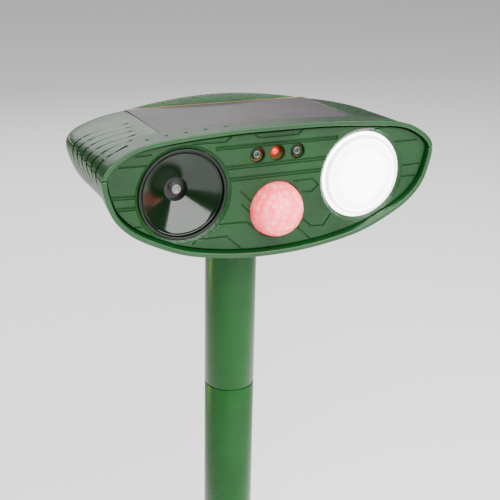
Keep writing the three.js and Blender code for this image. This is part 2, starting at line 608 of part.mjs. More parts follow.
function usbCover() {
  const [x, z] = [-CONTROL_X, CONTROL_Z];
  const plate = slab(roundedRect(x - 5.8, z - 3.6, x + 5.8, z + 3.4, 2), USB_COVER_Y, USB_COVER_Y + 1.6);
  const pull = block([x - 2, USB_COVER_Y, z - 5], [x + 2, USB_COVER_Y + 1.2, z - 3]);
  return join(plate, pull);
}

// ---------------------------------------------------------------- pole and spike (row frame heights)
const SOIL_DROP = POLE_TOP_Z - 2 * TUBE_LENGTH - SPIKE_CUP_LENGTH - FLANGE_THICK;   // soil, head frame
const SPIGOT_R = POLE_R - POLE_WALL - GAP;

/** A pole tube: plain body, necked spigot at its lower end. */
function poleTube(topZ) {
  const bottom = topZ - TUBE_LENGTH + GAP;
  const tip = bottom - SPIGOT_LENGTH;
  const inner = POLE_R - POLE_WALL;
  return turnedZ([[inner, topZ], [POLE_R, topZ], [POLE_R, bottom], [SPIGOT_R, bottom], [SPIGOT_R, tip + 1],
    [SPIGOT_R - 0.6, tip], [SPIGOT_R - POLE_WALL, tip], [SPIGOT_R - POLE_WALL, bottom + 3],
    [inner, bottom + 6], [inner, topZ]], 0, 0, ROUND);
}

/** One blade of the spike's cross, tapering to the point. */
function blade() {
  const shape = new THREE.Shape();
  shape.moveTo(-9, 0.5);
  shape.lineTo(9, 0.5);
  shape.lineTo(9, -0.55 * BLADE_LENGTH);
  shape.lineTo(0.8, -BLADE_LENGTH);
  shape.lineTo(-0.8, -BLADE_LENGTH);
  shape.lineTo(-9, -0.55 * BLADE_LENGTH);
  return slab(shape, -1.2, 1.2);
}

function groundSpike() {
  const cupTop = FLANGE_THICK + SPIKE_CUP_LENGTH;
  const cup = turnedZ([[0, 0], [FLANGE_R - 1, 0], [FLANGE_R, 1], [FLANGE_R, FLANGE_THICK - 0.6],
    [FLANGE_R - 0.8, FLANGE_THICK], [POLE_R, FLANGE_THICK], [POLE_R, cupTop],
    [SPIGOT_R + GAP, cupTop], [SPIGOT_R + GAP, FLANGE_THICK - 0.8], [0, FLANGE_THICK - 0.8]], 0, 0, ROUND);
  return join(cup, blade(), blade().rotateZ(Math.PI / 2));
}

// ---------------------------------------------------------------- assembly
const finish = (color, roughness, metalness = 0) => (
  new THREE.MeshStandardMaterial({ color, roughness, metalness }));
const GREEN = finish(0x1f5a33, 0.5);
const BRIGHT_GREEN = finish(0x2a6b3a, 0.45);
const BLACK = finish(0x0b0d0b, 0.25);
const BOARD_GREEN = finish(0x2c6a3c, 0.6);
const STEEL = finish(0xb9bcc0, 0.35, 1);
const WHITE = finish(0xf4f6f6, 0.3);
const CLEAR = finish(0xc9d6cc, 0.15);

const root = new THREE.Group();
const head = new THREE.Group();
head.position.set(0, -POLE_Y, -SOIL_DROP);
root.add(head);

function add(group, name, geometry, material) {
  const mesh = new THREE.Mesh(geometry, material);
  mesh.name = name;
  group.add(mesh);
}

add(root, 'ground_spike', groundSpike(), GREEN);
add(root, 'pole_lower', poleTube(-SOIL_DROP + POLE_TOP_Z - TUBE_LENGTH), BRIGHT_GREEN);
add(root, 'pole_upper', poleTube(-SOIL_DROP + POLE_TOP_Z), BRIGHT_GREEN);

const form = headForm();
const hollow = headHollow();
add(head, 'upper_shell', upperShell(form, hollow), GREEN);
add(head, 'lower_shell', lowerShell(form, hollow), GREEN);
CASE_SCREWS.forEach((_, i) => add(head, `case_screw_${i}`, caseScrew(i), STEEL));
add(head, 'front_panel', frontPanel(), BRIGHT_GREEN);

add(head, 'speaker_horn', speakerHorn(), BLACK);
add(head, 'speaker_ring', speakerRing(), BLACK);
add(head, 'horn_plug', hornPlug(), BLACK);
add(head, 'speaker_housing', speakerHousing(), BLACK);
add(head, 'piezo_disc', piezoDisc(), finish(0xc49a4a, 0.35, 1));

add(head, 'lamp_lens', lampLens(), WHITE);
add(head, 'lamp_ring', lampRing(), WHITE);
add(head, 'lamp_reflector', lampReflector(), finish(0xdfe3e6, 0.12, 1));
add(head, 'lamp_board', lampBoard(), WHITE);
add(head, 'lamp_led', lampLed(), finish(0xf3e7a8, 0.3));

add(head, 'pir_lens', pirLens(), finish(0xe9a3a6, 0.4));
add(head, 'pir_sensor', pirSensor(), STEEL);
add(head, 'charge_led', smallLamp(-LED_PITCH, 3.4), CLEAR);
add(head, 'indicator_led', smallLamp(0, 5), finish(0xd01822, 0.25));
add(head, 'light_sensor', smallLamp(LED_PITCH, 3.4), CLEAR);
add(head, 'front_board', frontBoard(), BOARD_GREEN);
BOARD_SCREWS.forEach((_, i) => add(head, `board_screw_${i}`, boardScrew(i), STEEL));

add(head, 'solar_board', solarBoard(), finish(0x8a6a3e, 0.55));
add(head, 'solar_cells', solarCells(), finish(0x3b3742, 0.3));

add(head, 'battery_tray', batteryTray(), BLACK);
for (let i = 0; i < 4; i += 1) add(head, `battery_cell_${i}`, batteryCell(i), finish(0x3f7f9f, 0.4));
add(head, 'contact_plate_left', contactPlate(-1), STEEL);
add(head, 'contact_plate_right', contactPlate(1), STEEL);
add(head, 'battery_door', batteryDoor(), GREEN);
add(head, 'door_seal', doorSeal(), BLACK);
add(head, 'hinge_pin_left', hingePin(-1), STEEL);
add(head, 'hinge_pin_right', hingePin(1), STEEL);

for (const [name, side] of [['frequency', -1], ['sensitivity', 1]]) {
  add(head, `${name}_knob`, controlKnob(side), BLACK);
  add(head, `${name}_shaft`, controlShaft(side), STEEL);
  add(head, `${name}_control`, controlBody(side), STEEL);
  add(head, `${name}_board`, controlBoard(side), BOARD_GREEN);
}
add(head, 'power_button', powerButton(), BLACK);
add(head, 'power_switch', powerSwitch(), BLACK);
add(head, 'usb_socket', usbSocket(), STEEL);
add(head, 'usb_cover', usbCover(), BLACK);

export default root;
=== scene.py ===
"""Solar ultrasonic pest repeller: the visible model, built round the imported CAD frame.

Shapes are worked out in the head's own frame in millimetres (y is the depth behind the front
rim, z = 0 is the level of the side tips) and written out in metres in the row frame.
"""
import math
from functools import lru_cache

import bmesh
import bpy
from mathutils import Matrix, Vector


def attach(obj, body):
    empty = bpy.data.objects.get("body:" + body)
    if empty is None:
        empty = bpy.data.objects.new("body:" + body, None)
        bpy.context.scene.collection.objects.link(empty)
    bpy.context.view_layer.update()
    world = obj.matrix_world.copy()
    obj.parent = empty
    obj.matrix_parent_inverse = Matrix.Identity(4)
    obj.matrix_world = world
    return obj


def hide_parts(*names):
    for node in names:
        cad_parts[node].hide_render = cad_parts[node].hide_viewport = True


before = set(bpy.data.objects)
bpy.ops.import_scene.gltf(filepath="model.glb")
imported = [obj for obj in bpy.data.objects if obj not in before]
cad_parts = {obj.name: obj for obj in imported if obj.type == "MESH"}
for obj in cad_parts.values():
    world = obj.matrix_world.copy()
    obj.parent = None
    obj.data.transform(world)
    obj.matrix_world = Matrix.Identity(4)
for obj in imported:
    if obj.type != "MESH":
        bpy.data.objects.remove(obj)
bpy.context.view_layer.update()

# ------------------------------------------------------------------ driving dimensions, mm
HEAD_HALF_WIDTH = 80.0
HEAD_DEPTH = 79.0
PLAN_CORNER_R = 25.0
REAR_EDGE_R = 6.0
WALL = 2.2
GAP = 0.3
SEAM_SLOPE = 0.09
LIP_Y = 21.0
POLE_Y = 52.2
SOIL_DROP = 259.6                  # soil level below the side tips
POLE_R = 13.0
POLE_WALL = 1.6
POLE_TOP_Z = -27.0
TUBE_LENGTH = 105.0
SPIGOT_LENGTH = 20.0
SOCKET_BOTTOM_Z = -47.0
SOCKET_TOP_Z = -24.3
SPIKE_CUP_LENGTH = 20.0
FLANGE_R = 22.0
FLANGE_THICK = 2.6
BLADE_LENGTH = 103.0
LAMP_X = 43.72
LAMP_Z = -10.45
PANEL_Y = 2.5
PANEL_BACK_Y = 4.7
BORE_R = 20.3
COUNTERBORE_R = 21.8
LED_PITCH = 9.7
LED_Z = 4.1
PIR_Z = -21.5
PIR_R = 12.4
PIR_HEIGHT = 11.2
SOLAR_HALF_WIDTH = 47.4
SOLAR_FRONT_Y = 20.9
SOLAR_BACK_Y = 72.8
SOLAR_TOP_Z = 12.8
TRAY_TOP_Z = 10.2
KNOB_X = 43.0
KNOB_Z = -2.0
CONTROL_X = 40.0
CONTROL_Z = -17.0
HINGE_Y = 81.2
HINGE_Z = -28.6
DOOR_Y = 80.6
LENS_RIBS = 48
LENS_SIDES = 288
LENS_GLOW = 6.0

BOTTOM_BEHIND_RIM = [
    (78.7, -4.5), (74, -14), (65.5, -22), (54.5, -28.3), (41, -33.8), (27, -37.4), (13, -39.2), (0, -39.7)]
OUTLINE_RIM = [
    (0, 17), (20, 16.9), (40, 15.9), (56, 14.4), (66, 12.3), (73.5, 8.4), (78.3, 4.2), (80, 0),
    (79, -7.5), (75.5, -17), (68.5, -24.7), (58, -31), (44, -36.9), (28, -40.3), (13, -42), (0, -42.4)]
OUTLINE_LIP = [
    (0, 14.6), (20, 14.3), (40, 13.5), (54, 12.6), (64, 11.3), (72, 9.2), (77.6, 6.4),
    (80, 2.5)] + BOTTOM_BEHIND_RIM
OUTLINE_REAR = [
    (0, 16.9), (20, 16.1), (40, 14), (54, 11.7), (64, 10.3), (71.5, 8.5), (77.5, 6.1),
    (80, 2.5)] + BOTTOM_BEHIND_RIM


# ------------------------------------------------------------------ small helpers
def mix(a, b, k):
    return a + (b - a) * k


def clamp01(k):
    return min(max(k, 0.0), 1.0)


def ease(k):
    """Smooth step from 0 to 1."""
    k = clamp01(k)
    return k * k * (3 - 2 * k)


def head(x, y, z):
    """A head-frame point in millimetres, as a row-frame point in metres."""
    return Vector((x, y - POLE_Y, z + SOIL_DROP)) / 1000


def row(x, y, z):
    """A row-frame point in millimetres, in metres."""
    return Vector((x, y, z)) / 1000


def new_piece(name, points, faces):
    mesh = bpy.data.meshes.new(name)
    mesh.from_pydata([tuple(p) for p in points], [], faces)
    mesh.validate()
    obj = bpy.data.objects.new(name, mesh)
    bpy.context.scene.collection.objects.link(obj)
    return obj


def outward(obj):
    """Welds doubles and makes every face point out."""
    bm = bmesh.new()
    bm.from_mesh(obj.data)
    bmesh.ops.remove_doubles(bm, verts=bm.verts, dist=2e-6)
    bmesh.ops.recalc_face_normals(bm, faces=bm.faces)
    bm.to_mesh(obj.data)
    bm.free()


def apply_modifiers(obj):
    graph = bpy.context.evaluated_depsgraph_get()
    baked = bpy.data.meshes.new_from_object(obj.evaluated_get(graph))
    old = obj.data
    obj.modifiers.clear()
    obj.data = baked
    bpy.data.meshes.remove(old)


def smooth(obj, angle=35):
    for polygon in obj.data.polygons:
        polygon.use_smooth = True
    obj.data.set_sharp_from_angle(angle=math.radians(angle))


def boolean(obj, tools, operation="DIFFERENCE"):
    for tool in tools:
        mod = obj.modifiers.new("cut", "BOOLEAN")
        mod.operation = operation
        mod.solver = "MANIFOLD"
        mod.object = tool
    apply_modifiers(obj)
    for tool in tools:
        bpy.data.objects.remove(tool)


def revolved(name, columns, closed=False):
    """Skin over equal columns of points set round an axis; closed joins each column's two ends."""
    count, sides = len(columns[0]), len(columns)
    faces = []
    for i in range(sides):
        a, b = i * count, (i + 1) % sides * count
        for k in range(count if closed else count - 1):
            n = (k + 1) % count
            faces.append((a + k, a + n, b + n, b + k))
    obj = new_piece(name, [p for column in columns for p in column], faces)
    outward(obj)
    return obj


def lathe(name, profile, origin, axis="Y", segments=96, closed=False):
    """Turned piece; profile points are (radius, distance along the axis), origin in metres."""
    columns = []
    for i in range(segments):
        a = 2 * math.pi * i / segments
        c, s = math.cos(a), math.sin(a)
        columns.append([origin + Vector({"Y": (r * c, d, r * s), "Z": (r * c, r * s, d),
                                         "X": (d, r * c, r * s)}[axis])
                        / 1000 for r, d in profile])
    return revolved(name, columns, closed)


def drill(name, profile, x, z, segments):
    """Turned piece along the head's depth."""
    return lathe(name, profile, head(x, 0, z), "Y", segments)


def fillet_path(points, radius, steps=4):
    """Rounds the inner corners of an open path of 2D points."""
    out = [points[0]]
    for before, here, after in zip(points, points[1:], points[2:]):
        p, a, b = Vector(here), Vector(before), Vector(after)
        u, v = (a - p), (b - p)
        r = min(radius, 0.45 * u.length, 0.45 * v.length)
        start, end = p + u.normalized() * r, p + v.normalized() * r
        for i in range(steps + 1):
            k = i / steps
            q = start * (1 - k) ** 2 + p * 2 * k * (1 - k) + end * k ** 2
            out.append((q.x, q.y))
    out.append(points[-1])
    return out


def rounded_rect(x0, z0, x1, z1, r, steps=6):
    corners = [(x1 - r, z0 + r, -90), (x1 - r, z1 - r, 0), (x0 + r, z1 - r, 90), (x0 + r, z0 + r, 180)]
    return [(cx + r * math.cos(math.radians(start + 90 * i / steps)),
             cz + r * math.sin(math.radians(start + 90 * i / steps)))
            for cx, cz, start in corners for i in range(steps + 1)]


def stack(name, rings):
    """Closed loft over rings of equal length, flat ends."""
    n = len(rings[0])
    points = [p for ring in rings for p in ring]
    faces = [tuple(range(n)), tuple(reversed(range((len(rings) - 1) * n, len(rings) * n)))]
    for j in range(len(rings) - 1):
        faces += [(j * n + i, j * n + (i + 1) % n, (j + 1) * n + (i + 1) % n, (j + 1) * n + i)
                  for i in range(n)]
    obj = new_piece(name, points, faces)
    outward(obj)
    return obj


def block(name, low, high):
    (x0, y0, z0), (x1, y1, z1) = low, high
    return stack(name, [[head(x, y, z) for x, z in ((x0, z0), (x1, z0), (x1, z1), (x0, z1))]
                        for y in (y0, y1)])


def plate(name, x0, z0, x1, z1, r, y0, y1, edge=0.5, mouth=0.0):
    """Rounded-corner plate with rounded edges; a mouth flares its y1 end, to cut a chamfered opening."""
    steps = [(y0, edge), (mix(y0, y0 + edge, 0.3), 0.3 * edge), (y0 + edge, 0)]
    steps += [(y1 - edge, 0), (mix(y1, y1 - edge, 0.3), 0.3 * edge), (y1, edge)]
    if mouth:
        steps = [(y0, 0), (y1 - 3 - mouth, 0), (y1 - 3, -mouth), (y1, -mouth - 0.01)]
    return stack(name, [[head(x, y, z) for x, z in
                         rounded_rect(x0 + i, z0 + i, x1 - i, z1 - i, max(r - i, 0.05))] for y, i in steps])


def turned(name, profile, x, z, radius=0.25, segments=96):
    """Turned piece along the head's depth, the corners of its profile rounded."""
    return drill(name, fillet_path(profile, radius), x, z, segments)


def turned_ring(name, loop, x, z, radius):
    """Turned ring from a closed profile loop, corners rounded."""
    path = fillet_path([loop[-1]] + loop + [loop[0], loop[1]], radius)
    per = len(fillet_path([loop[-1]] + loop[:2], radius)) - 2
    return lathe(name, path[1:1 + per * len(loop)], head(x, 0, z), "Y", 128, closed=True)


def pin_cutter():
    """The bore for the battery door's hinge pins."""
    return lathe("pin_bore", [(0, -40), (1.1, -40), (1.1, 40), (0, 40)], head(0, HINGE_Y, HINGE_Z), "X", 24)


def place(obj, body, material, *nodes, slot, angle=40, others=(), choose=None):
    """Shades the piece, lets it ride on a body and stand for CAD nodes; choose picks faces for others."""
    smooth(obj, angle)
    obj.data.materials.clear()
    for each in (material, *others):
        obj.data.materials.append(each)
    if choose:
        for polygon in obj.data.polygons:
            centre = polygon.center * 1000
            polygon.material_index = choose(centre.x, centre.y + POLE_Y, centre.z - SOIL_DROP)
    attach(obj, body)
    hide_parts(*nodes)


# ------------------------------------------------------------------ materials
class Finish:
    """A Principled material and the steps that build its detail."""

    def __init__(self, name, base, roughness, **sockets):
        self.material = bpy.data.materials.new(name)
        self.material.use_nodes = True
        self.link = self.material.node_tree.links.new
        self.sockets = self.material.node_tree.nodes["Principled BSDF"].inputs
        self.sockets["Base Color"].default_value = (*base, 1)
        self.sockets["Roughness"].default_value = roughness
        for key, value in sockets.items():
            self.sockets[key.replace("_", " ")].default_value = value
        self.coords = self.node("TexCoord").outputs["Object"]

    def node(self, kind, vector=None, **inputs):
        node = self.material.node_tree.nodes.new("ShaderNode" + kind)
        for key, value in inputs.items():
            node.inputs[key.replace("_", " ")].default_value = value
        if vector:
            self.link(vector, node.inputs["Vector"])
        return node

    def noise(self, vector=None, **inputs):
        return self.node("TexNoise", vector or self.coords, **inputs).outputs["Fac"]

    def stretched(self, scale):
        return self.node("Mapping", self.coords, Scale=scale).outputs["Vector"]

    def ramp(self, value, stops, *sockets):
        """Colours by a value, for the named sockets."""
        node = self.node("ValToRGB")
        elements = node.color_ramp.elements
        while len(elements) < len(stops):
            elements.new(0.5)
        for element, (at, colour) in zip(elements, stops):
            element.position = at
            element.color = (*colour, 1)
        self.link(value, node.inputs["Fac"])
        for socket in sockets:
            self.link(node.outputs["Color"], self.sockets[socket])
        return node.outputs["Color"]

    def gloss(self, value, low, high):
        """Roughness that varies with a value."""
        node = self.node("MapRange", To_Min=low, To_Max=high)
        self.link(value, node.inputs["Value"])
        self.link(node.outputs["Result"], self.sockets["Roughness"])

    def bump(self, height, strength, distance, under=None):
        """Bumps the surface; under is a bump beneath this one."""
        node = self.node("Bump", Strength=strength, Distance=distance)
        self.link(height, node.inputs["Height"])
        if under:
            self.link(under.outputs["Normal"], node.inputs["Normal"])
        self.link(node.outputs["Normal"], self.sockets["Normal"])
        return node

    def calc(self, operation, a, b=0.0):
        node = self.node("Math")
        node.operation = operation
        for socket, value in zip(node.inputs, (a, b)):
            if isinstance(value, (int, float)):
                socket.default_value = value
            else:
                self.link(value, socket)
        return node.outputs["Value"]


def moulded_plastic(name, dark, light, rough, grain, grain_scale, streak=None, specular=0.5):
    """Injection-moulded plastic: cloudy colour, fine spark-eroded grain and uneven gloss."""
    finish = Finish(name, dark, rough[0], Specular_IOR_Level=specular)
    cloud = finish.noise(Scale=38.0, Detail=5.0, Roughness=0.6)
    finish.ramp(cloud, [(0.3, dark), (0.72, light)], "Base Color")
    finish.gloss(finish.noise(Scale=130.0, Detail=8.0, Roughness=0.7), *rough)
    grit = finish.noise(Scale=float(grain_scale), Detail=3.0, Roughness=0.55)
    bump = finish.bump(grit, grain, 0.0004)
    if streak:
        lines = finish.noise(finish.stretched(streak), Scale=60.0, Detail=6.0, Roughness=0.6)
        finish.bump(lines, 0.12, 0.0003, under=bump)
    return finish.material


def metal(name, base, rough=(0.22, 0.38)):
    """Metal with fine scratches and uneven polish."""
    finish = Finish(name, base, rough[0], Metallic=1.0)
    scratches = finish.noise(finish.stretched((40, 900, 40)), Scale=6.0, Detail=6.0, Roughness=0.6)
    finish.gloss(scratches, *rough)
    finish.bump(scratches, 0.08, 0.0002)
    return finish.material


def circuit_board(name):
    """Green solder mask with routed tracks."""
    finish = Finish(name, (0.02, 0.12, 0.05), 0.35)
    tracks = finish.node("TexBrick", finish.coords, Scale=420.0, Mortar_Size=0.06,
                         Color1=(0.02, 0.13, 0.05, 1),
                         Color2=(0.03, 0.17, 0.07, 1), Mortar=(0.25, 0.2, 0.06, 1))
    finish.link(tracks.outputs["Color"], finish.sockets["Base Color"])
    finish.bump(tracks.outputs["Fac"], 0.2, 0.0002)
    return finish.material


def solar_glaze(name):
    """Dark silicon strips under a clear glaze, with faint collector lines."""
    finish = Finish(name, (0.05, 0.045, 0.05), 0.45, Specular_IOR_Level=0.12)
    cloud = finish.noise(Scale=60.0, Detail=4.0, Roughness=0.6)
    tone = finish.ramp(cloud, [(0.3, (0.050, 0.044, 0.048)), (0.7, (0.070, 0.062, 0.066))])
    fingers = finish.node("TexWave", finish.coords, Scale=95.0, Distortion=0.0)
    fingers.bands_direction = "Y"
    mask = finish.ramp(fingers.outputs["Fac"], [(0.965, (0, 0, 0)), (1.0, (1, 1, 1))])
    blend = finish.node("Mix")
    blend.data_type = "RGBA"
    factor, first, second, result = blend.inputs[0], blend.inputs[6], blend.inputs[7], blend.outputs[2]
    second.default_value = (0.11, 0.10, 0.12, 1)
    finish.link(mask, factor)
    finish.link(tone, first)
    finish.link(result, finish.sockets["Base Color"])
    finish.bump(cloud, 0.05, 0.0003)
    return finish.material


def frosted(name, base, rough, glow=(0, 0, 0), strength=0.0):
    """Cloudy translucent moulding that can glow."""
    finish = Finish(name, base, rough, Emission_Color=(*glow, 1), Emission_Strength=strength)
    cloud = finish.noise(Scale=220.0, Detail=5.0, Roughness=0.6)
    finish.ramp(cloud, [(0.3, tuple(0.9 * c for c in base)), (0.7, base)], "Base Color")
    finish.gloss(cloud, rough * 0.8, rough * 1.2)
    finish.bump(cloud, 0.06, 0.0003)
    return finish.material


def painted_glow_pink(name):
    """Pink polythene given a painted glow, with painted highlights that make its cells paler in their
    middles.
    """
    # painted glow: the detector lens emits light though it is no lamp; the cell ramp paints a highlight in
    # each facet's middle
    finish = Finish(name, (0.95, 0.20, 0.21), 0.36, Emission_Strength=0.5)
    cells = finish.node("TexVoronoi", finish.coords, Scale=330.0, Randomness=0.6).outputs["Distance"]
    finish.ramp(cells, [(0.05, (0.99, 0.27, 0.29)), (0.30, (0.98, 0.18, 0.20)), (0.62, (0.93, 0.09, 0.11))],
                "Base Color", "Emission Color")
    finish.bump(cells, 0.15, 0.0006).invert = True
    return finish.material


def lit_lens(name):
    """White lens, brightest in the middle, its edge broken by radial ribs."""
    finish = Finish(name, (0.93, 0.95, 0.95), 0.25, Emission_Color=(1, 1, 1, 1))
    calc = finish.calc
    place_on = finish.node("SeparateXYZ", finish.coords).outputs
    centre = head(LAMP_X, 0, LAMP_Z)
    x, z = calc("SUBTRACT", place_on["X"], centre.x), calc("SUBTRACT", place_on["Z"], centre.z)
    radius = calc("SQRT", calc("ADD", calc("MULTIPLY", x, x), calc("MULTIPLY", z, z)))
    waves = calc("SINE", calc("MULTIPLY", calc("ARCTAN2", z, x), LENS_RIBS))
    fade = finish.ramp(calc("SUBTRACT", calc("MULTIPLY", radius, 100), 0.85),
                       [(0.0, (0, 0, 0)), (0.30, (0, 0, 0)), (0.52, (1, 1, 1)), (0.80, (1, 1, 1)),
                        (0.86, (0.1, 0.1, 0.1))])
    shade = calc("MULTIPLY", fade, calc("ADD", calc("MULTIPLY", waves, 0.13), 0.40))
    finish.link(calc("MULTIPLY", calc("SUBTRACT", 1.0, shade), LENS_GLOW),
                finish.sockets["Emission Strength"])
    finish.bump(finish.noise(Scale=180.0, Detail=4.0), 0.05, 0.0003)
    return finish.material


SHELL = moulded_plastic("shell_plastic", (0.0008, 0.023, 0.0024), (0.0018, 0.038, 0.0050), (0.32, 0.44),
                        0.5, 700,
                        specular=0.38)
PANEL = moulded_plastic("panel_plastic", (0.0010, 0.017, 0.0018), (0.0030, 0.034, 0.0052), (0.30, 0.44),
                        0.7, 600,
                        specular=0.25)
# painted light: a brighter, more saturated copy of the shell plastic for the front rim band, standing in for
# its highlight
RIM_LIT = moulded_plastic("rim_painted_light", (0.0008, 0.027, 0.0030), (0.0013, 0.040, 0.0050), (0.30, 0.40), 0.3, 700,
                      specular=0.38)
# painted shade: a darker copy of the shell plastic for the faces sunk in the side grooves
GROOVE_SHADE = moulded_plastic("groove_painted_shade", (0.0004, 0.0060, 0.0008), (0.0007, 0.0090, 0.0012), (0.5, 0.6),
                         0.3, 700,
                         specular=0.1)
POLE = moulded_plastic("pole_plastic", (0.0016, 0.034, 0.0036), (0.0028, 0.046, 0.0060), (0.24, 0.32), 0.06,
                       900,
                       streak=(30, 30, 1.2), specular=0.18)
SPIKE = moulded_plastic("spike_plastic", (0.0025, 0.030, 0.0070), (0.0045, 0.044, 0.0110), (0.4, 0.6), 0.3,
                        700)
GLOSS_BLACK = moulded_plastic("horn_black", (0.0004, 0.0040, 0.0006), (0.0008, 0.0065, 0.0010),
                              (0.10, 0.15), 0.02, 800,
                              specular=0.35)
RING_DARK = moulded_plastic("ring_dark", (0.002, 0.003, 0.002), (0.005, 0.006, 0.005), (0.3, 0.4), 0.05, 900,
                            specular=0.25)
PLUG_GREY = moulded_plastic("plug_grey", (0.06, 0.065, 0.06), (0.10, 0.105, 0.10), (0.25, 0.4), 0.1, 900)
SATIN_BLACK = moulded_plastic("knob_black", (0.010, 0.010, 0.010), (0.020, 0.020, 0.020), (0.4, 0.6), 0.2,
                              900)
RUBBER = moulded_plastic("seal_rubber", (0.012, 0.012, 0.012), (0.024, 0.024, 0.023), (0.6, 0.8), 0.35, 1300)
CHROME = metal("reflector_chrome", (0.92, 0.92, 0.93), (0.08, 0.16))
STEEL = metal("screw_steel", (0.60, 0.61, 0.63))
BOARD = circuit_board("circuit_board")
SOLAR = solar_glaze("solar_dark")
SOLAR_EDGE = moulded_plastic("solar_brown", (0.20, 0.10, 0.03), (0.42, 0.26, 0.10), (0.4, 0.6), 0.3, 900)
LENS_LIT = lit_lens("lens_white")
RING_WHITE = frosted("ring_white", (0.9, 0.92, 0.92), 0.3, glow=(1.0, 1.0, 1.0), strength=1.6)
# detector lens: painted glow and painted facet highlights
PIR_GLOW_PINK = painted_glow_pink("pir_pink")
RED_LIT = frosted("led_red", (0.60, 0.004, 0.006), 0.12, glow=(1.0, 0.0, 0.004), strength=0.3)
LED_CLEAR = frosted("led_clear", (0.030, 0.045, 0.034), 0.25)
LED_AMBER = frosted("led_yellow", (0.9, 0.8, 0.4), 0.25, glow=(1.0, 0.97, 0.85), strength=0.3)
SLEEVE = moulded_plastic("cell_sleeve", (0.02, 0.16, 0.22), (0.03, 0.22, 0.30), (0.2, 0.3), 0.03, 600)


# ------------------------------------------------------------------ outline of the head
CURVES = [half + [(-x, z) for x, z in reversed(half[1:-1])]
          for half in (OUTLINE_RIM, OUTLINE_LIP, OUTLINE_REAR)]


def on_curve(points, t):
    """Closed Catmull-Rom curve through the points, t running once round."""
    n = len(points)
    p = t * n
    i = math.floor(p)
    w = p - i
    a, b, c, d = (points[(i + k) % n] for k in (-1, 0, 1, 2))
    out = []
    for m in (0, 1):
        t0, t1 = 0.5 * (c[m] - a[m]), 0.5 * (d[m] - b[m])
        out.append(b[m] + t0 * w + (3 * (c[m] - b[m]) - 2 * t0 - t1) * w * w
                   + (2 * (b[m] - c[m]) + t0 + t1) * w ** 3)
    return out


def round_off(r, into):
    return r - math.sqrt(max(r * r - max(into, 0) ** 2, 0))


@lru_cache(maxsize=None)
def head_point(t, y):
    """Outline point (x, z) at depth y; t = 0 top centre, about 0.23 the right tip, 0.5 bottom centre."""
    rim, lip, rear = (on_curve(c, t) for c in CURVES)
    k, m = clamp01(y / LIP_Y), ease((y - LIP_Y) / 45)
    x, z = (mix(mix(rim[i], lip[i], k), rear[i], m) for i in (0, 1))
    plan = round_off(PLAN_CORNER_R, y - (HEAD_DEPTH - PLAN_CORNER_R))
    edge = round_off(REAR_EDGE_R, y - (HEAD_DEPTH - REAR_EDGE_R))
    height = OUTLINE_REAR[0][1] if z > 0 else -OUTLINE_REAR[-1][1]
    return x * (1 - plan / HEAD_HALF_WIDTH), z * (1 - edge / height)


def inward_at(t, y):
    (x0, z0), (x1, z1) = head_point(t - 0.002, y), head_point(t + 0.002, y)
    along = Vector((x1 - x0, z1 - z0)).normalized()
    return along.y, -along.x


def head_outline(y, inset, count=240):
    out = []
    for i in range(count):
        t = i / count
        (x, z), (nx, nz) = head_point(t, y), inward_at(t, y)
        out.append((x + nx * inset, z + nz * inset))
    return out


def bisect(below, low, high):
    for _ in range(28):
        middle = (low + high) / 2
        if below(middle):
            low = middle
        else:
            high = middle
    return (low + high) / 2


def t_at_x(x, y):
    return bisect(lambda t: head_point(t, y)[0] < x, 0, 0.234)


def t_at_seam(y, offset):
    return bisect(lambda t: head_point(t, y)[1] > SEAM_SLOPE * y + offset, 0.09, 0.42)


# ------------------------------------------------------------------ upper and lower shells
EDGE_ROUNDING = 0.4
GROOVES = [(46, 54), (38.6, 55), (31.2, 57), (23.8, 58.5), (16.4, 61.5), (9.5, 66)]
GROOVE_DEPTH = 1.5
GROOVE_HALF_TOP = 0.6               # the grooves widen on their way down the side
GROOVE_HALF_SIDE = 1.3
GROOVE_END_Z = -30.0
GROOVE_ROWS = (-1.9, -1.6, -1.45, -1.3, -0.9, -0.75, -0.6, 0, 0.6, 0.75, 0.9, 1.3, 1.45, 1.6, 1.9)
NOTCH_INNER_X = 70.5
BAND_STEP = 0.5                    # each band of the side stands a little proud of the next
POCKET_X = SOLAR_HALF_WIDTH + GAP
POCKET_Y = (SOLAR_FRONT_Y - GAP, SOLAR_BACK_Y + GAP)


def side_relief(x, y, z):
    """How far the side grooves are sunk; the front groove starts with a broader notch."""
    depth = 0.0
    low_end = ease((z - GROOVE_END_Z) / 1.5)
    half = mix(GROOVE_HALF_SIDE, GROOVE_HALF_TOP, ease((z - 1) / 9))
    for i, (gy, x_end) in enumerate(GROOVES):
        along = low_end if z < 0 else ease((abs(x) - x_end) / 0.7)
        across = 1 - ease((abs(y - gy) - half) / 0.3)
        if i == len(GROOVES) - 1 and z > 0 and abs(x) < NOTCH_INNER_X:
            across = max(across, 1 - ease((abs(y - gy) - 1.0) / 0.3)) * 1.2
        depth = max(depth, GROOVE_DEPTH * across * along)
    return depth


def band_step(x, y, z):
    """Bands lean like overlapping slats: sunk just behind each groove, flush at the next one back."""
    edges = [6.0] + sorted(g for g, _ in GROOVES) + [54.0]
    for near, far in zip(edges, edges[1:]):
        if near <= y < far and near >= 9:
            x_end = next(e for g, e in GROOVES if g == near)
            along = ease((z - GROOVE_END_Z) / 6) if z < 0 else ease((abs(x) - x_end) / 4)
            return BAND_STEP * along * (1 - (y - near) / (far - near))
    return 0.0


def depth_rows():
    ys = [0, 0.8, 2, 4, 6.5, 8, 13, 18.4, POCKET_Y[0], 27.5, 35, 42.5, 50, 54, 57, 60, 63, 66, 68.5, 71,
          POCKET_Y[1],
          74.4, 75.6, 76.7, 77.6, 78.3, 78.75, HEAD_DEPTH]
    for g, _ in GROOVES:
        ys += [g + o for o in GROOVE_ROWS]
    ys.sort()
    return [y for i, y in enumerate(ys) if i == 0 or y - ys[i - 1] > 0.1]


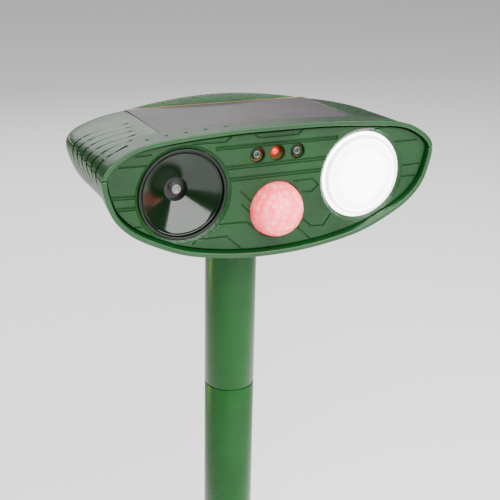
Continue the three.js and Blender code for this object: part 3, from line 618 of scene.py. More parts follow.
def shell_finish(x, y, z):
    """Rim band 1, painted light; side grooves 2, painted shade; the rest 0."""
    if y < 1.2:
        return 1
    return 2 if side_relief(x, y, z) > 0.1 else 0


def surface_point(t, y):
    x, z = head_point(t, y)
    nx, nz = inward_at(t, y)
    d = side_relief(x, y, z) + band_step(x, y, z)
    return x + nx * d, y, z + nz * d


def mirrored(half):
    """A full row from its right half, centre first."""
    return [(-x, y, z) for x, y, z in reversed(half[1:])] + half


def wall_point(t, y):
    """The inner side of the wall."""
    (x, z), (nx, nz) = head_point(t, y), inward_at(t, y)
    return x + nx * WALL, y * (HEAD_DEPTH - WALL) / HEAD_DEPTH, z + nz * WALL


def to_seam(half, side):
    """Puts the last point of a half row on the seam."""
    x, y, _ = half[-1]
    return half[:-1] + [(x, y, SEAM_SLOPE * y + side * GAP / 2)]


def upper_rows(point):
    rows = []
    inner = [POCKET_X * i / 12 for i in range(13)]
    for y in depth_rows():
        t0, t1 = t_at_x(POCKET_X, y), t_at_seam(y, GAP / 2)
        ts = [0.0 if x == 0 else t_at_x(x, y) for x in inner] + [mix(t0, t1, i / 34) for i in range(1, 35)]
        rows.append(mirrored(to_seam([point(t, y) for t in ts], 1)))
    edge = rows[-1]
    seam = SEAM_SLOPE * edge[0][1] + GAP / 2
    for f in (0.5, 1.0):
        rows.append([(x, y, mix(z, seam, f)) for x, y, z in edge])
    return rows


def lower_rows(point):
    rows = []
    for y in depth_rows():
        t0 = t_at_seam(y, -GAP / 2)
        half = [point(mix(0.5, t0, i / 64), y) for i in range(65)]
        rows.append(mirrored(to_seam(half, -1)))
    edge = rows[-1]
    seam = SEAM_SLOPE * edge[0][1] - GAP / 2
    for f in (0.34, 0.67, 1.0):
        rows.append([(mix(x, mix(edge[0][0], edge[-1][0], i / (len(edge) - 1)), f), y, mix(z, seam, f))
                     for i, (x, y, z) in enumerate(edge)])
    return rows


def walled(name, outer, inner, edge_ok, hole=None):
    """Closed shell between two equal grids of points, the edges that edge_ok picks rounded.

    Where hole is true the outer skin drops to the flat floor of the solar panel's pocket.
    """
    height, across = len(outer), len(outer[0])
    count = height * across
    points = [head(*p) for grid in (outer, inner) for row_points in grid for p in row_points]
    faces, open_edges = [], {}
    for j in range(height - 1):
        for i in range(across - 1):
            a, b = j * across + i, (j + 1) * across + i
            faces.append((count + a, count + b, count + b + 1, count + a + 1))
            (xa, ya, _), (xb, yb, _) = outer[j][i], outer[j + 1][i + 1]
            if not (hole and hole((xa + xb) / 2, (ya + yb) / 2)):
                faces.append((a, a + 1, b + 1, b))
                continue
            for edge in ((a, a + 1), (a + 1, b + 1), (b + 1, b), (b, a)):
                if open_edges.pop(edge[::-1], None) is None:
                    open_edges[edge] = True
    ring = list(range(across)) + [j * across + across - 1 for j in range(1, height)]
    ring += [(height - 1) * across + i for i in range(across - 2, -1, -1)]
    ring += [j * across for j in range(height - 2, 0, -1)]
    faces += [(a, b, count + b, count + a) for a, b in zip(ring, ring[1:] + ring[:1])]
    if open_edges:
        following = {a: b for a, b in open_edges}
        floor = {a: len(points) + i for i, a in enumerate(following)}
        points += [Vector((points[a].x, points[a].y, (TRAY_TOP_Z + SOIL_DROP) / 1000)) for a in following]
        faces += [(a, b, floor[b], floor[a]) for a, b in following.items()]
        loop = [next(iter(following))]
        while following[loop[-1]] != loop[0]:
            loop.append(following[loop[-1]])
        faces.append(tuple(floor[a] for a in loop))
    obj = new_piece(name, points, faces)
    outward(obj)
    bm = bmesh.new()
    bm.from_mesh(obj.data)
    chosen = [e for e in bm.edges if len(e.link_faces) == 2 and e.calc_face_angle(0) > math.radians(40)
              and edge_ok(*(v.co * 1000 + Vector((0, POLE_Y, -SOIL_DROP)) for v in e.verts))]
    bmesh.ops.bevel(bm, geom=chosen, offset=EDGE_ROUNDING / 1000, offset_type="OFFSET", segments=3,
                    profile=0.5, affect="EDGES", clamp_overlap=False)
    bmesh.ops.recalc_face_normals(bm, faces=bm.faces)
    bm.to_mesh(obj.data)
    bm.free()
    return obj


def on_seam(p, side):
    return abs(p.z - SEAM_SLOPE * p.y - side * GAP / 2) < 0.02


def top_height(x, y):
    return head_point(t_at_x(abs(x), y), y)[1]


CELL_BACK_Y = 69.9
SLOTS = [(-57.5, 9.8), (-48.7, 10.8), (-39.6, 11.7), (-30, 12.4), (-20.5, 13),
         (33.8, 17.6), (42.4, 17.6), (51, 16.8), (58.6, 15.8)]
CASE_SCREWS = [(-67, 24, -14), (67, 24, -14), (-58, 61, -20), (58, 61, -20)]


def make_upper_shell():
    y0, y1 = POCKET_Y
    inner = [[(x, y, min(z, TRAY_TOP_Z - 1.8)) if abs(x) < 50 and 18.4 < y < 75.4 else (x, y, z)
              for x, y, z in line] for line in upper_rows(wall_point)]

    def edge_ok(a, b):
        if (on_seam(a, 1) and on_seam(b, 1)) or max(a.y, b.y) < 0.01:
            return True
        return all(abs(p.x) < POCKET_X + 0.05 and y0 - 0.05 < p.y < y1 + 0.05 and p.z > TRAY_TOP_Z + 0.5
                   for p in (a, b)) and abs(a.z - b.z) < 1.5

    obj = walled("upper_shell_look", upper_rows(surface_point), inner, edge_ok,
                 lambda x, y: abs(x) < POCKET_X and y0 < y < y1)
    tools = []
    for i, (x, y) in enumerate(SLOTS):
        z = top_height(x, y)
        rings = [[head(x + u, y + v, z + h) for u, v in rounded_rect(-w, -l, w, l, 0.45, 4)]
                 for h, w, l in ((-1.2, 0.65, 1.35), (-0.15, 0.75, 1.45), (0.15, 0.95, 1.65),
                                 (2, 0.95, 1.65))]
        tools.append(stack(f"slot_{i}", rings))
    boolean(obj, tools)
    # the rim band gets painted light and the side grooves painted shade
    place(obj, "head", SHELL, "upper_shell", slot="shell_plastic", others=(RIM_LIT, GROOVE_SHADE),
          choose=shell_finish, angle=38)


def make_lower_shell():
    obj = walled("lower_shell_look", lower_rows(surface_point), lower_rows(wall_point),
                 lambda a, b: (on_seam(a, -1) and on_seam(b, -1)) or max(a.y, b.y) < 0.01)
    r = POLE_R + GAP
    collar = turned_z("collar", [(r, SOCKET_TOP_Z), (15.2, SOCKET_TOP_Z), (16, SOCKET_TOP_Z - 0.8),
                                 (16, SOCKET_BOTTOM_Z + 0.8), (15.2, SOCKET_BOTTOM_Z),
                                 (r + 0.6, SOCKET_BOTTOM_Z),
                                 (r, SOCKET_BOTTOM_Z + 0.6)], True)
    bore = turned_z("bore", [(0, -70), (r, -70), (r, POLE_TOP_Z + GAP), (0, POLE_TOP_Z + GAP)], False)
    boolean(obj, [bore])
    lugs = [hinge_block(f"lug_{i}", a, b, False)
            for i, (a, b) in enumerate([(11, 15), (24, 28), (-15, -11), (-28, -24)])]
    bosses = []
    for x, y, _ in CASE_SCREWS:
        boss = lathe("boss", [(0, -36), (4, -36), (4, SEAM_SLOPE * y - 0.5), (0, SEAM_SLOPE * y - 0.5)],
                     head(x, y, 0), "Z", 40)
        core = stack("core", [[head(u, v, w) for u, w in head_outline(v, 0.9, 120)]
                              for v in (8, 16, 30, 44, 56, 64, 70)])
        boolean(boss, [core], "INTERSECT")
        bosses.append(boss)
    boolean(obj, [collar] + lugs + bosses, "UNION")
    tools = [plate("bay", -28, -22.8, 28, 4.6, 2, 70, 82, mouth=0.3)]
    for side in (-1, 1):
        tools.append(chamfered_drill("shaft_hole", 3.5, side * KNOB_X, KNOB_Z))
    tools.append(chamfered_drill("button_hole", 4.1, CONTROL_X, CONTROL_Z))
    tools.append(plate("port", -CONTROL_X - 5, CONTROL_Z - 2.1, -CONTROL_X + 5, CONTROL_Z + 2.1, 1.5, 70,
                       82, mouth=0.3))
    for x, y, z in CASE_SCREWS:
        tools.append(lathe("screw_well", [(0, -60), (2.7, -60), (2.7, z + GAP), (1.6, z + GAP), (1.6, 7),
                                          (0, 7)],
                           head(x, y, 0), "Z", 40))
    boolean(obj, tools + [pin_cutter()])
    # the rim band gets painted light and the side grooves painted shade
    place(obj, "head", SHELL, "lower_shell", slot="shell_plastic", others=(RIM_LIT, GROOVE_SHADE),
          choose=shell_finish, angle=38)


def turned_z(name, profile, closed):
    return lathe(name, profile, head(0, POLE_Y, 0), "Z", 96, closed=closed)


def chamfered_drill(name, r, x, z):
    return drill(name, [(0, 70), (r, 70), (r, HEAD_DEPTH - 0.35), (r + 0.4, HEAD_DEPTH + 0.05),
                        (r + 0.4, 90), (0, 90)],
                 x, z, 48)


def hinge_block(name, x0, x1, door):
    """One hinge barrel along X with the web that carries it."""
    r, web_y = 1.9, 77.2
    first, last = (-180, 1) if door else (-90, 91)
    arc = [(HINGE_Y + r * math.cos(math.radians(a)), HINGE_Z + r * math.sin(math.radians(a)))
           for a in range(first, last, 10)]
    if door:
        outline = arc + [(HINGE_Y + r, -25.7), (HINGE_Y - 0.6, -25.7), (HINGE_Y - 0.6, HINGE_Z)]
    else:
        outline = [(web_y, HINGE_Z - r)] + arc + [(HINGE_Y, HINGE_Z + 1.1), (web_y, HINGE_Z + 1.1)]
    rings = [[head(x, y, z) for y, z in outline] for x in (x0, x1)]
    return stack(name, rings)


# ------------------------------------------------------------------ front panel
ENGRAVED = [
    [(-40, 11.6), (-24.9, 11.3), (-22.4, 13.4)],
    [(-12, 13.8), (-9.5, 11.8), (9.5, 11.8), (12, 13.8)],
    [(-29.2, 9.2), (29.2, 9.2), (29.2, 8.1), (-29.2, 8.1)],
    [(-24.5, 0.3), (24.5, 0.3)],
    [(-24.5, -0.9), (24.5, -0.9)],
    [(-22.6, -5), (22.6, -5)],
    [(-22.6, -6.2), (22.6, -6.2)],
    [(8.2, -9.4), (17.4, -9.3), (20.7, -12.3), (17.7, -15.1), (12.8, -14.9)],
    [(-17.4, -11.7), (-12.4, -16.6)],
    [(-17.2, -17.6), (-12.9, -21.6)],
    [(-27.7, -25.2), (-14.4, -25.8), (-9.4, -30.4)],
    [(-40, -32.8), (-38.2, -30.8), (-24.2, -31.3), (-16.9, -38.2)],
    [(13.6, -27.9), (17.5, -31.6), (24.3, -32.2), (27.7, -27.5)],
    [(11, -31.6), (17.8, -38.2)],
    [(-75.5, -7.6), (-65.6, -8.1)], [(-75.2, -8.8), (-65.8, -9.2)],
    [(-74.9, -12.6), (-65.6, -13)], [(-74.4, -13.8), (-65.2, -14.1)],
    [(-72, 4.6), (-60.6, 4.3)], [(-64.7, 8.6), (-58.2, 8.6)], [(-68, -21.6), (-62, -21.9)],
    [(48.8, 10.4), (50.4, 11.2), (60, 11.4)],
    [(64.6, -7.8), (74.9, -7.7)], [(65, -13.2), (73, -13.3)], [(59.4, 3.9), (72, 4)],
]
ENGRAVE_HALF = 0.30
ENGRAVE_DEPTH = 0.6
BOARD_SCREWS = [(-14.5, -8.5), (14.5, -8.5)]


def capsule(start, end, half):
    """Outline of a round-ended stroke."""
    a, b = Vector(start), Vector(end)
    turn = math.atan2(b.y - a.y, b.x - a.x)
    out = []
    for centre, base in ((b, turn - math.pi / 2), (a, turn + math.pi / 2)):
        out += [(centre.x + half * math.cos(base + math.pi * i / 6),
                 centre.y + half * math.sin(base + math.pi * i / 6))
                for i in range(7)]
    return out


def groove_cutter(name, start, end):
    """Cutter for one engraved stroke, its mouth flared."""
    sections = [(PANEL_Y - 1, ENGRAVE_HALF + 0.16), (PANEL_Y - 0.02, ENGRAVE_HALF + 0.16),
                (PANEL_Y + 0.2, ENGRAVE_HALF), (PANEL_Y + ENGRAVE_DEPTH, ENGRAVE_HALF - 0.08)]
    return stack(name, [[head(x, y, z) for x, z in capsule(start, end, half)] for y, half in sections])


def make_front_panel():
    outline = head_outline(PANEL_BACK_Y, WALL + 1.5 * GAP)
    centre = Vector((0, -12))
    inner = [tuple(Vector(p) + (centre - Vector(p)).normalized() * 0.35) for p in outline]
    rings = [[head(x, PANEL_Y, z) for x, z in inner], [head(x, PANEL_Y + 0.3, z) for x, z in outline],
             [head(x, PANEL_BACK_Y, z) for x, z in outline]]
    obj = stack("front_panel_look", rings)
    tools = []
    for side in (-1, 1):
        tools.append(drill("bore", [(0, -1), (COUNTERBORE_R + 0.5, -1), (COUNTERBORE_R + 0.5, PANEL_Y - 0.02),
                                    (COUNTERBORE_R + 0.12, PANEL_Y + 0.12),
                                    (COUNTERBORE_R - 0.1, PANEL_Y + 0.4),
                                    (BORE_R, PANEL_Y + 1.4), (BORE_R, 9), (0, 9)],
                           side * LAMP_X, LAMP_Z, 144))
    tools.append(drill("eye_hole", [(0, 0), (PIR_R + 0.75, 0), (PIR_R + 0.75, PANEL_Y),
                                    (PIR_R + 0.4, PANEL_Y + 0.35),
                                    (PIR_R + 0.3, PANEL_Y + 1), (PIR_R + 0.3, 8), (0, 8)], 0, PIR_Z, 120))
    for i in (-1, 0, 1):
        tools.append(drill("lamp_hole", [(0, 0), (3.75, 0), (3.75, PANEL_Y), (3.45, PANEL_Y + 0.35),
                                         (3.4, 8), (0, 8)],
                           i * LED_PITCH, LED_Z, 64))
    for line in ENGRAVED:
        tools += [groove_cutter("stroke", a, b) for a, b in zip(line, line[1:])]
    boolean(obj, tools)
    posts = [turned("post", [(0, PANEL_BACK_Y - 0.5), (2.7, PANEL_BACK_Y - 0.5), (2.7, 13.7), (1.3, 13.7),
                             (1.3, 6.5),
                             (0, 6.5)], x, z, segments=32) for x, z in BOARD_SCREWS]
    boolean(obj, posts, "UNION")
    place(obj, "head", PANEL, "front_panel", slot="panel_plastic", angle=30)


# ------------------------------------------------------------------ horn, lamp, detector and indicators
FLANGE_Y = PANEL_BACK_Y + GAP
FLANGE_RADIUS = 20.7


def make_horn():
    dish = [(mix(5.4, 18.2, i / 12), mix(12.8, 5.4, i / 12)) for i in range(13)]
    lip = [(18.3, 5.2), (18.5, 5.12), (18.7, 5.2), (18.8, 5.4)]
    back = [(20.7, 5.4), (20.7, 6.6), (18.2, 6.6), (17.8, 7.4), (6.8, 13.8), (6.8, 17), (5.4, 17)]
    horn = lathe("speaker_horn_look", dish + lip + back, head(-LAMP_X, 0, LAMP_Z), "Y", 160, closed=True)
    place(horn, "head", GLOSS_BLACK, "speaker_horn", slot="horn_black")
    ring = turned_ring("speaker_ring_look", [(18.9, 3.4), (20, 3.4), (20, 5.1), (18.9, 5.1)], -LAMP_X,
                       LAMP_Z, 0.3)
    place(ring, "head", RING_DARK, "speaker_ring", slot="horn_black", angle=60)
    profile = [(0, 12.6), (0.8, 12.55), (1.1, 12.4), (1.3, 12.1), (1.9, 12.05), (2.2, 12.6), (2.2, 13.6),
               (1.8, 14.8),
               (1.8, 17.6), (0, 17.6)]
    plug = turned("horn_plug_look", profile, -LAMP_X, LAMP_Z, 0.2, 64)
    place(plug, "head", PLUG_GREY, "horn_plug", slot="horn_black")


def make_lamp():
    """Domed lens with fine moulded ribs near its edge, in a rounded ring."""
    lens_r, dome_steps, columns = 17, 44, []
    front = [(r, 1.5 + 1.3 * (r / lens_r) ** 2.2)
             for r in [lens_r * i / dome_steps for i in range(dome_steps + 1)]]
    back = [(lens_r, FLANGE_Y), (FLANGE_RADIUS, FLANGE_Y), (FLANGE_RADIUS, FLANGE_Y + 1.2),
            (16.5, FLANGE_Y + 1.2), (14.5, 4.6), (9, 3.9), (0.001, 3.7)]
    for i in range(LENS_SIDES):
        a = 2 * math.pi * i / LENS_SIDES
        column = [front[0]]
        for r, y in front[1:]:
            band = ease((r - 11.6) / 0.8) * (1 - ease((r - 15) / 0.8))
            rib = 0.25 * (0.5 + 0.5 * math.cos(LENS_RIBS * a)) * band
            column.append((r, y - rib - 0.2 * math.exp(-((r - 16.2) / 0.3) ** 2)))
        columns.append([head(LAMP_X + r * math.cos(a), y, LAMP_Z + r * math.sin(a)) for r,
                        y in column + back])
    lens = revolved("lamp_lens_look", columns)
    place(lens, "head", LENS_LIT, "lamp_lens", slot="lens_white", angle=50)
    ring = turned_ring("lamp_ring_look", [(17.2, 1.9), (18.7, 1.9), (18.7, 4.7), (17.2, 4.7)],
                       LAMP_X, LAMP_Z, 0.5)
    place(ring, "head", RING_WHITE, "lamp_ring", slot="ring_white", angle=60)


def make_eye():
    """Detector dome pressed into hexagonal lens facets."""
    sides, steps, pitch, wall = 168, 64, 0.36, 0.9

    def facet(theta, phi):
        """Angle from the middle of the nearest facet."""
        u, v = theta * math.cos(phi), theta * math.sin(phi)
        best = 9.0
        j0 = round(v / (pitch * 0.866))
        for j in (j0 - 1, j0, j0 + 1):
            shift = 0.5 * pitch * (j % 2)
            i0 = round((u - shift) / pitch)
            for i in (i0 - 1, i0, i0 + 1):
                best = min(best, (u - i * pitch - shift) ** 2 + (v - j * pitch * 0.866) ** 2)
        return math.sqrt(best)

    back = [(PIR_R, FLANGE_Y), (14.6, FLANGE_Y), (14.6, FLANGE_Y + 1), (PIR_R - wall, FLANGE_Y + 1),
            (PIR_R - wall, PANEL_Y)]
    back += [((PIR_R - wall) * math.sin(a), PANEL_Y - (PIR_HEIGHT - wall) * math.cos(a))
             for a in [math.pi / 2 * (1 - i / 12) for i in range(1, 13)]]
    columns = []
    for i in range(sides):
        phi = 2 * math.pi * i / sides
        column = []
        for theta in [math.pi / 2 * s / steps for s in range(steps + 1)]:
            sink = 0.16 * (facet(theta, phi) / (pitch / 2)) ** 2 * (1 - ease((theta - 1.32) / 0.15))
            column.append(((PIR_R - sink) * math.sin(theta), PANEL_Y - (PIR_HEIGHT - sink) * math.cos(theta)))
        columns.append([head(r * math.cos(phi), y, PIR_Z + r * math.sin(phi)) for r, y in column + back])
    eye = revolved("pir_lens_look", columns)
    place(eye, "head", PIR_GLOW_PINK, "pir_lens", slot="pir_pink", angle=60)


def make_small_lamps():
    for name, x, tip, material, slot in (("charge_led", -LED_PITCH, 3.4, LED_CLEAR, "led_clear"),
                                         ("indicator_led", 0, 5, RED_LIT, "led_red"),
                                         ("light_sensor", LED_PITCH, 3.4, LED_CLEAR, "led_clear")):
        if slot == "led_red":
            nose = [(2.5 * math.sin(a), tip + 2.5 * (1 - math.cos(a)))
                    for a in [math.pi / 2 * i / 16 for i in range(17)]]
        else:
            nose = [(0, tip + 1.2), (0.7, tip + 1.1), (0.95, tip + 0.2), (1.25, tip), (1.6, tip + 0.1),
                    (1.8, tip + 0.5),
                    (1.95, tip + 1.6), (2.5, tip + 2)]
        lamp = drill(name + "_look", nose + [(2.5, tip + 6), (2.9, tip + 6), (2.9, 13.7), (0, 13.7)],
                     x, LED_Z, 64)
        place(lamp, "head", material, name, slot=slot)


# ------------------------------------------------------------------ solar panel
def make_solar_panel():
    def layer(name, x, y0, y1, z0, z1, edge):
        rings = []
        for z, i in ((z0, edge), (z0 + edge, 0), (z1 - edge, 0), (z1, edge)):
            rings.append([head(u, v, z) for u, v in rounded_rect(-x + i, y0 + i, x - i, y1 - i, 0.8, 5)])
        return stack(name, rings)

    board = layer("solar_board_look", SOLAR_HALF_WIDTH - 0.3, SOLAR_FRONT_Y + 0.3, SOLAR_BACK_Y,
                  TRAY_TOP_Z + GAP,
                  SOLAR_TOP_Z - 0.3, 0.15)
    place(board, "head", SOLAR_EDGE, "solar_board", slot="solar_brown", angle=30)
    cells = layer("solar_cells_look", SOLAR_HALF_WIDTH, SOLAR_FRONT_Y, CELL_BACK_Y,
                  SOLAR_TOP_Z - 0.28, SOLAR_TOP_Z, 0.1)
    place(cells, "head", SOLAR, "solar_cells", slot="solar_dark", angle=30)


# ------------------------------------------------------------------ battery bay and door
def make_battery_door():
    door = plate("battery_door_look", -32, -26.2, 32, 5.4, 3, DOOR_Y, DOOR_Y + 2, edge=0.55)
    parts = [plate(f"grip_{i}", -9, 1.3 - 1.8 * i, 9, 2.3 - 1.8 * i, 0.5, DOOR_Y + 1.5, DOOR_Y + 2.5,
                   edge=0.3)
             for i in range(3)]
    parts.append(plate("latch", -5, 2.6, 5, 3.8, 0.4, 75.2, DOOR_Y + 0.5, edge=0.3))
    for i, (a, b) in enumerate([(15.3, 23.7), (-23.7, -15.3)]):
        parts.append(hinge_block(f"knuckle_{i}", a, b, True))
    boolean(door, parts, "UNION")
    recess = plate("door_recess", -29, -23.2, 29, -5.4, 2, DOOR_Y + 1.65, DOOR_Y + 6, edge=0.05)
    boolean(door, [recess, pin_cutter()])
    place(door, "battery_hatch", SHELL, "battery_door", slot="shell_plastic", angle=35)
    seal = plate("door_seal_look", -30.6, -24.8, 30.6, 5, 2, 79.3, 80.3, edge=0.3)
    boolean(seal, [plate("seal_hole", -28.6, -23, 28.6, 4.2, 1.4, 70, 90, edge=0.05)])
    place(seal, "battery_hatch", RUBBER, "door_seal", slot="seal_rubber", angle=35)
    for name, a, b in (("hinge_pin_left", -27.8, -11.2), ("hinge_pin_right", 11.2, 27.8)):
        profile = [(0, a), (0.65, a), (0.8, a + 0.15), (0.8, b - 0.15), (0.65, b), (0, b)]
        pin = lathe(name + "_look", profile, head(0, HINGE_Y, HINGE_Z), "X", 32)
        place(pin, "battery_hatch", STEEL, name, slot="screw_steel")


def make_battery():
    for index in range(4):
        turn = -1 if index % 2 else 1
        y, z = (53.8, 68.1)[index % 2], (-15.5, -1.2)[index // 2]
        profile = [(0, -25.1), (5.8, -25.1), (6.9, -24.8), (7, -24.2), (7, 23.2), (6.8, 23.7), (5.6, 23.9),
                   (2.8, 23.9),
                   (2.7, 24.9), (2.4, 25.1), (0, 25.1)]
        profile = [(r, x * turn) for r, x in profile]
        cell = lathe(f"battery_cell_{index}_look", profile, head(0, y, z), "X", 64)
        place(cell, "head", SLEEVE, f"battery_cell_{index}", slot="cell_sleeve", others=(STEEL,),
              choose=lambda x, y, z: int(abs(x) > 23.8))
    tray = block("battery_tray_look", (-29, 45.3, -24), (29, 75.8, 7.4))
    boolean(tray, [block("bay", (-27.8, 46.5, -22.8), (27.8, 90, 6.2))])
    rounding = tray.modifiers.new("round", "BEVEL")
    rounding.width, rounding.segments = 0.3 / 1000, 2
    rounding.limit_method, rounding.angle_limit = "ANGLE", math.radians(35)
    apply_modifiers(tray)
    place(tray, "head", SATIN_BLACK, "battery_tray", slot="knob_black")


# ------------------------------------------------------------------ rear controls
def make_controls():
    base = HEAD_DEPTH + 0.6
    for side, name, body in ((-1, "frequency", "frequency_dial"), (1, "sensitivity", "sensitivity_dial")):
        x = side * KNOB_X
        knob = turned(name + "_knob_look", [(0, base + 6.4), (4.4, base + 6.4), (4.9, base + 7.4),
                                            (5.7, base + 7.4),
                                            (6.2, base + 6.7), (6.2, base + 0.1), (5.9, base), (3.3, base),
                                            (3.3, base + 5), (0, base + 5)], x, KNOB_Z, 0.3, 120)
        tools = []
        for i in range(16):
            a = (i + 0.5) * math.pi / 8
            tools.append(drill("flute", [(0, base + 1.2), (0.75, base + 1.2), (0.75, base + 9),
                                         (0, base + 9)],
                               x + 6.55 * math.cos(a), KNOB_Z + 6.55 * math.sin(a), 20))
        tools.append(plate("pointer", x - 0.4, KNOB_Z + 1, x + 0.4, KNOB_Z + 6.5, 0.35, base + 5.9,
                           base + 9, edge=0.02))
        boolean(knob, tools)
        place(knob, body, SATIN_BLACK, name + "_knob", slot="knob_black", angle=35)
    button = turned("power_button_look", [(0, 73.8), (4.7, 73.8), (4.7, 74.9), (3.7, 74.9), (3.7, 81),
                                          (3.3, 81.4),
                                          (1.6, 81.2), (0, 81.1)], CONTROL_X, CONTROL_Z, 0.3, 80)
    place(button, "power_key", RUBBER, "power_button", slot="seal_rubber")
    cover = plate("usb_cover_look", -45.8, -20.6, -34.2, -13.6, 2, 79.3, 80.9, edge=0.45)
    boolean(cover, [plate("pull", -42, -22, -38, -19.5, 0.8, 79.3, 80.5, edge=0.35),
                    plate("lid_rib", -43.4, -18.6, -36.6, -15.6, 1.2, 80.5, 81.2, edge=0.3)], "UNION")
    place(cover, "usb_flap", RUBBER, "usb_cover", slot="seal_rubber", angle=35)


# ------------------------------------------------------------------ screws, pole and spike
def make_screws():
    for i, (x, y, z) in enumerate(CASE_SCREWS):
        profile = fillet_path([(0, z - 2), (2.4, z - 2), (2.4, z), (1.3, z), (1.3, 7.6), (0, 8.2)], 0.3)
        screw = lathe(f"case_screw_{i}_look", profile, head(x, y, 0), "Z", 48)
        cross = []
        for w, l in ((1.5, 0.35), (0.35, 1.5)):
            rings = [[head(x + u, y + v, h) for u, v in rounded_rect(-w * k, -l * k, w * k, l * k, 0.1, 3)]
                     for h, k in ((z - 3, 1.05), (z - 2, 1), (z - 1.1, 0.6))]
            cross.append(stack("cross", rings))
        boolean(screw, cross)
        place(screw, "head", STEEL, f"case_screw_{i}", slot="screw_steel", angle=35)


def make_poles():
    spigot = POLE_R - POLE_WALL - GAP
    inner = POLE_R - POLE_WALL
    top_upper = SOIL_DROP + POLE_TOP_Z
    for name, top in (("pole_upper", top_upper), ("pole_lower", top_upper - TUBE_LENGTH)):
        bottom = top - TUBE_LENGTH + GAP
        tip = bottom - SPIGOT_LENGTH
        profile = [(inner, top - 0.4), (inner + 0.4, top), (POLE_R - 0.4, top), (POLE_R - 0.12, top - 0.12),
                   (POLE_R, top - 0.4), (POLE_R, bottom + 0.45), (POLE_R - 0.15, bottom + 0.15),
                   (POLE_R - 0.5, bottom),
                   (spigot, bottom), (spigot, tip + 1), (spigot - 0.6, tip), (spigot - POLE_WALL, tip),
                   (spigot - POLE_WALL, bottom + 3), (inner, bottom + 6)]
        tube = lathe(name + "_look", profile, row(0, 0, 0), "Z", 128, closed=True)
        place(tube, {"pole_upper": "upper_pole", "pole_lower": "lower_pole"}[name], POLE, name,
              slot="pole_plastic")


def make_spike():
    spigot = POLE_R - POLE_WALL
    top = FLANGE_THICK + SPIKE_CUP_LENGTH
    profile = [(0, 0), (20.6, 0), (21.6, 0.35), (FLANGE_R, 1), (FLANGE_R, 2), (21.6, 2.45),
               (21, FLANGE_THICK),
               (14.6, FLANGE_THICK), (13.4, 3), (POLE_R, 4.2), (POLE_R, top - 0.4), (POLE_R - 0.4, top),
               (spigot + 0.4, top),
               (spigot, top - 0.4), (spigot, FLANGE_THICK - 0.8), (0, FLANGE_THICK - 0.8)]
    spike = lathe("ground_spike_look", profile, row(0, 0, 0), "Z", 128)
    outline = [(-9, 0.5), (9, 0.5), (9, -0.55 * BLADE_LENGTH), (0.8, -BLADE_LENGTH), (-0.8, -BLADE_LENGTH),
               (-9, -0.55 * BLADE_LENGTH)]
    blades = []
    for turn in (0, 1):
        rings = []
        for d, i in ((-1.2, 0.35), (-0.85, 0), (0.85, 0), (1.2, 0.35)):
            ring = [(x - math.copysign(min(i, abs(x)), x), z + (i if z < -BLADE_LENGTH + 1 else 0)) for x,
                    z in outline]
            rings.append([row(*((x, d, z) if turn else (d, x, z))) for x, z in ring])
        blades.append(stack(f"blade_{turn}", rings))
    boolean(spike, blades, "UNION")
    gussets = []
    for i in range(4):
        a = math.pi / 4 + i * math.pi / 2
        out, across = Vector((math.cos(a), math.sin(a), 0)), Vector((-math.sin(a), math.cos(a), 0))
        rings = []
        for w in (-0.8, 0.8):
            rings.append([row(*(out * r + across * w + Vector((0, 0, z)))) for r, z in
                          ((12, 2.2), (20.3, 2.2), (12, 12))])
        gussets.append(stack(f"gusset_{i}", rings))
    boolean(spike, gussets, "UNION")
    place(spike, "stake", SPIKE, "ground_spike", slot="spike_plastic", angle=35)


# ------------------------------------------------------------------ CAD pieces that stay as they are
CARRIED = {
    "speaker_housing": SATIN_BLACK, "piezo_disc": SATIN_BLACK, "lamp_reflector": CHROME, "lamp_board": BOARD,
    "lamp_led": LED_AMBER, "pir_sensor": STEEL, "front_board": BOARD, "board_screw_0": STEEL,
    "board_screw_1": STEEL,
    "contact_plate_left": STEEL, "contact_plate_right": STEEL, "frequency_shaft": SATIN_BLACK,
    "sensitivity_shaft": SATIN_BLACK, "frequency_control": SATIN_BLACK, "sensitivity_control": SATIN_BLACK,
    "frequency_board": BOARD, "sensitivity_board": BOARD, "power_switch": SATIN_BLACK, "usb_socket": STEEL,
}


def dress_carried():
    for name, material in CARRIED.items():
        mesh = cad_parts[name].data
        mesh.materials.clear()
        mesh.materials.append(material)


# ------------------------------------------------------------------ studio
def add_light(name, at, target, size, power, colour=(1, 1, 1)):
    light = bpy.data.lights.new(name, "AREA")
    light.shape = "RECTANGLE"
    light.size, light.size_y = size
    light.energy = power
    light.color = colour
    obj = bpy.data.objects.new(name, light)
    bpy.context.scene.collection.objects.link(obj)
    obj.location = at
    obj.rotation_mode = "QUATERNION"
    obj.rotation_quaternion = (Vector(target) - Vector(at)).to_track_quat("-Z", "Y")


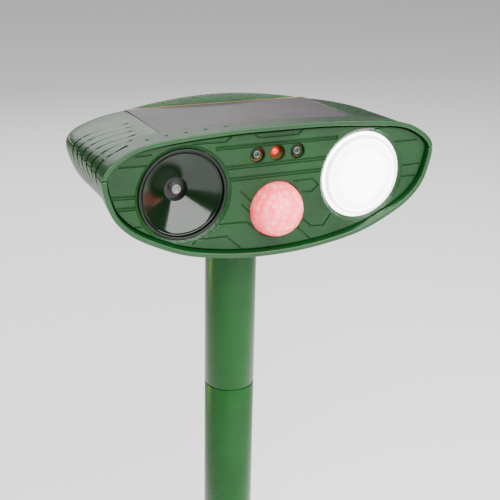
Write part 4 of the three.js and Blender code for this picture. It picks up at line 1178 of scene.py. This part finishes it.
def make_studio():
    floor = new_piece("floor", [(-30, -30, -0.1036), (30, -30, -0.1036), (30, 30, -0.1036),
                                (-30, 30, -0.1036)], [(0, 1, 2, 3)])
    paint = Finish("floor_paint", (0.92, 0.92, 0.92), 0.8, Emission_Color=(1, 1, 1, 1),
                   Emission_Strength=0.24)
    floor.data.materials.append(paint.material)
    world = bpy.data.worlds.new("studio")
    world.use_nodes = True
    world.node_tree.nodes["Background"].inputs["Color"].default_value = (1, 1, 1, 1)
    world.node_tree.nodes["Background"].inputs["Strength"].default_value = 0.25
    bpy.context.scene.world = world
    add_light("key", (0.18, -1.25, 1.0), (0, 0, 0.25), (2.0, 1.3), 115)
    add_light("fill", (-1.2, -0.3, 0.35), (0, 0, 0.25), (0.5, 0.9), 2)
    add_light("back", (0.1, 1.4, 1.0), (0, 0, 0.25), (1.2, 0.6), 12)
    add_light("grass", (-0.7, 0.45, 0.02), (-0.07, 0, 0.24), (0.3, 0.3), 2.5, (0.55, 1.0, 0.10))
    azimuth, elevation, roll = (math.radians(a) for a in (-25.15, 20.72, 1.18))
    back = Vector((math.sin(azimuth) * math.cos(elevation), -math.cos(azimuth) * math.cos(elevation),
                   math.sin(elevation)))
    right = Vector((math.cos(azimuth), math.sin(azimuth), 0))
    up = back.cross(right)
    axes = (right * math.cos(roll) + up * math.sin(roll), up * math.cos(roll) - right * math.sin(roll), back)
    camera_data = bpy.data.cameras.new("camera")
    camera_data.sensor_width = 36
    camera_data.lens = 67.28
    camera = bpy.data.objects.new("camera", camera_data)
    bpy.context.scene.collection.objects.link(camera)
    matrix = Matrix([[a[i] for a in axes] for i in range(3)]).to_4x4()
    matrix.translation = Vector((-0.1787, -0.4036, 0.36814))
    camera.matrix_world = matrix
    camera_data.clip_start, camera_data.clip_end = 0.01, 100
    bpy.context.scene.camera = camera


make_upper_shell()
make_lower_shell()
make_front_panel()
make_horn()
make_lamp()
make_eye()
make_small_lamps()
make_solar_panel()
make_battery_door()
make_battery()
make_controls()
make_screws()
make_poles()
make_spike()
dress_carried()
make_studio()
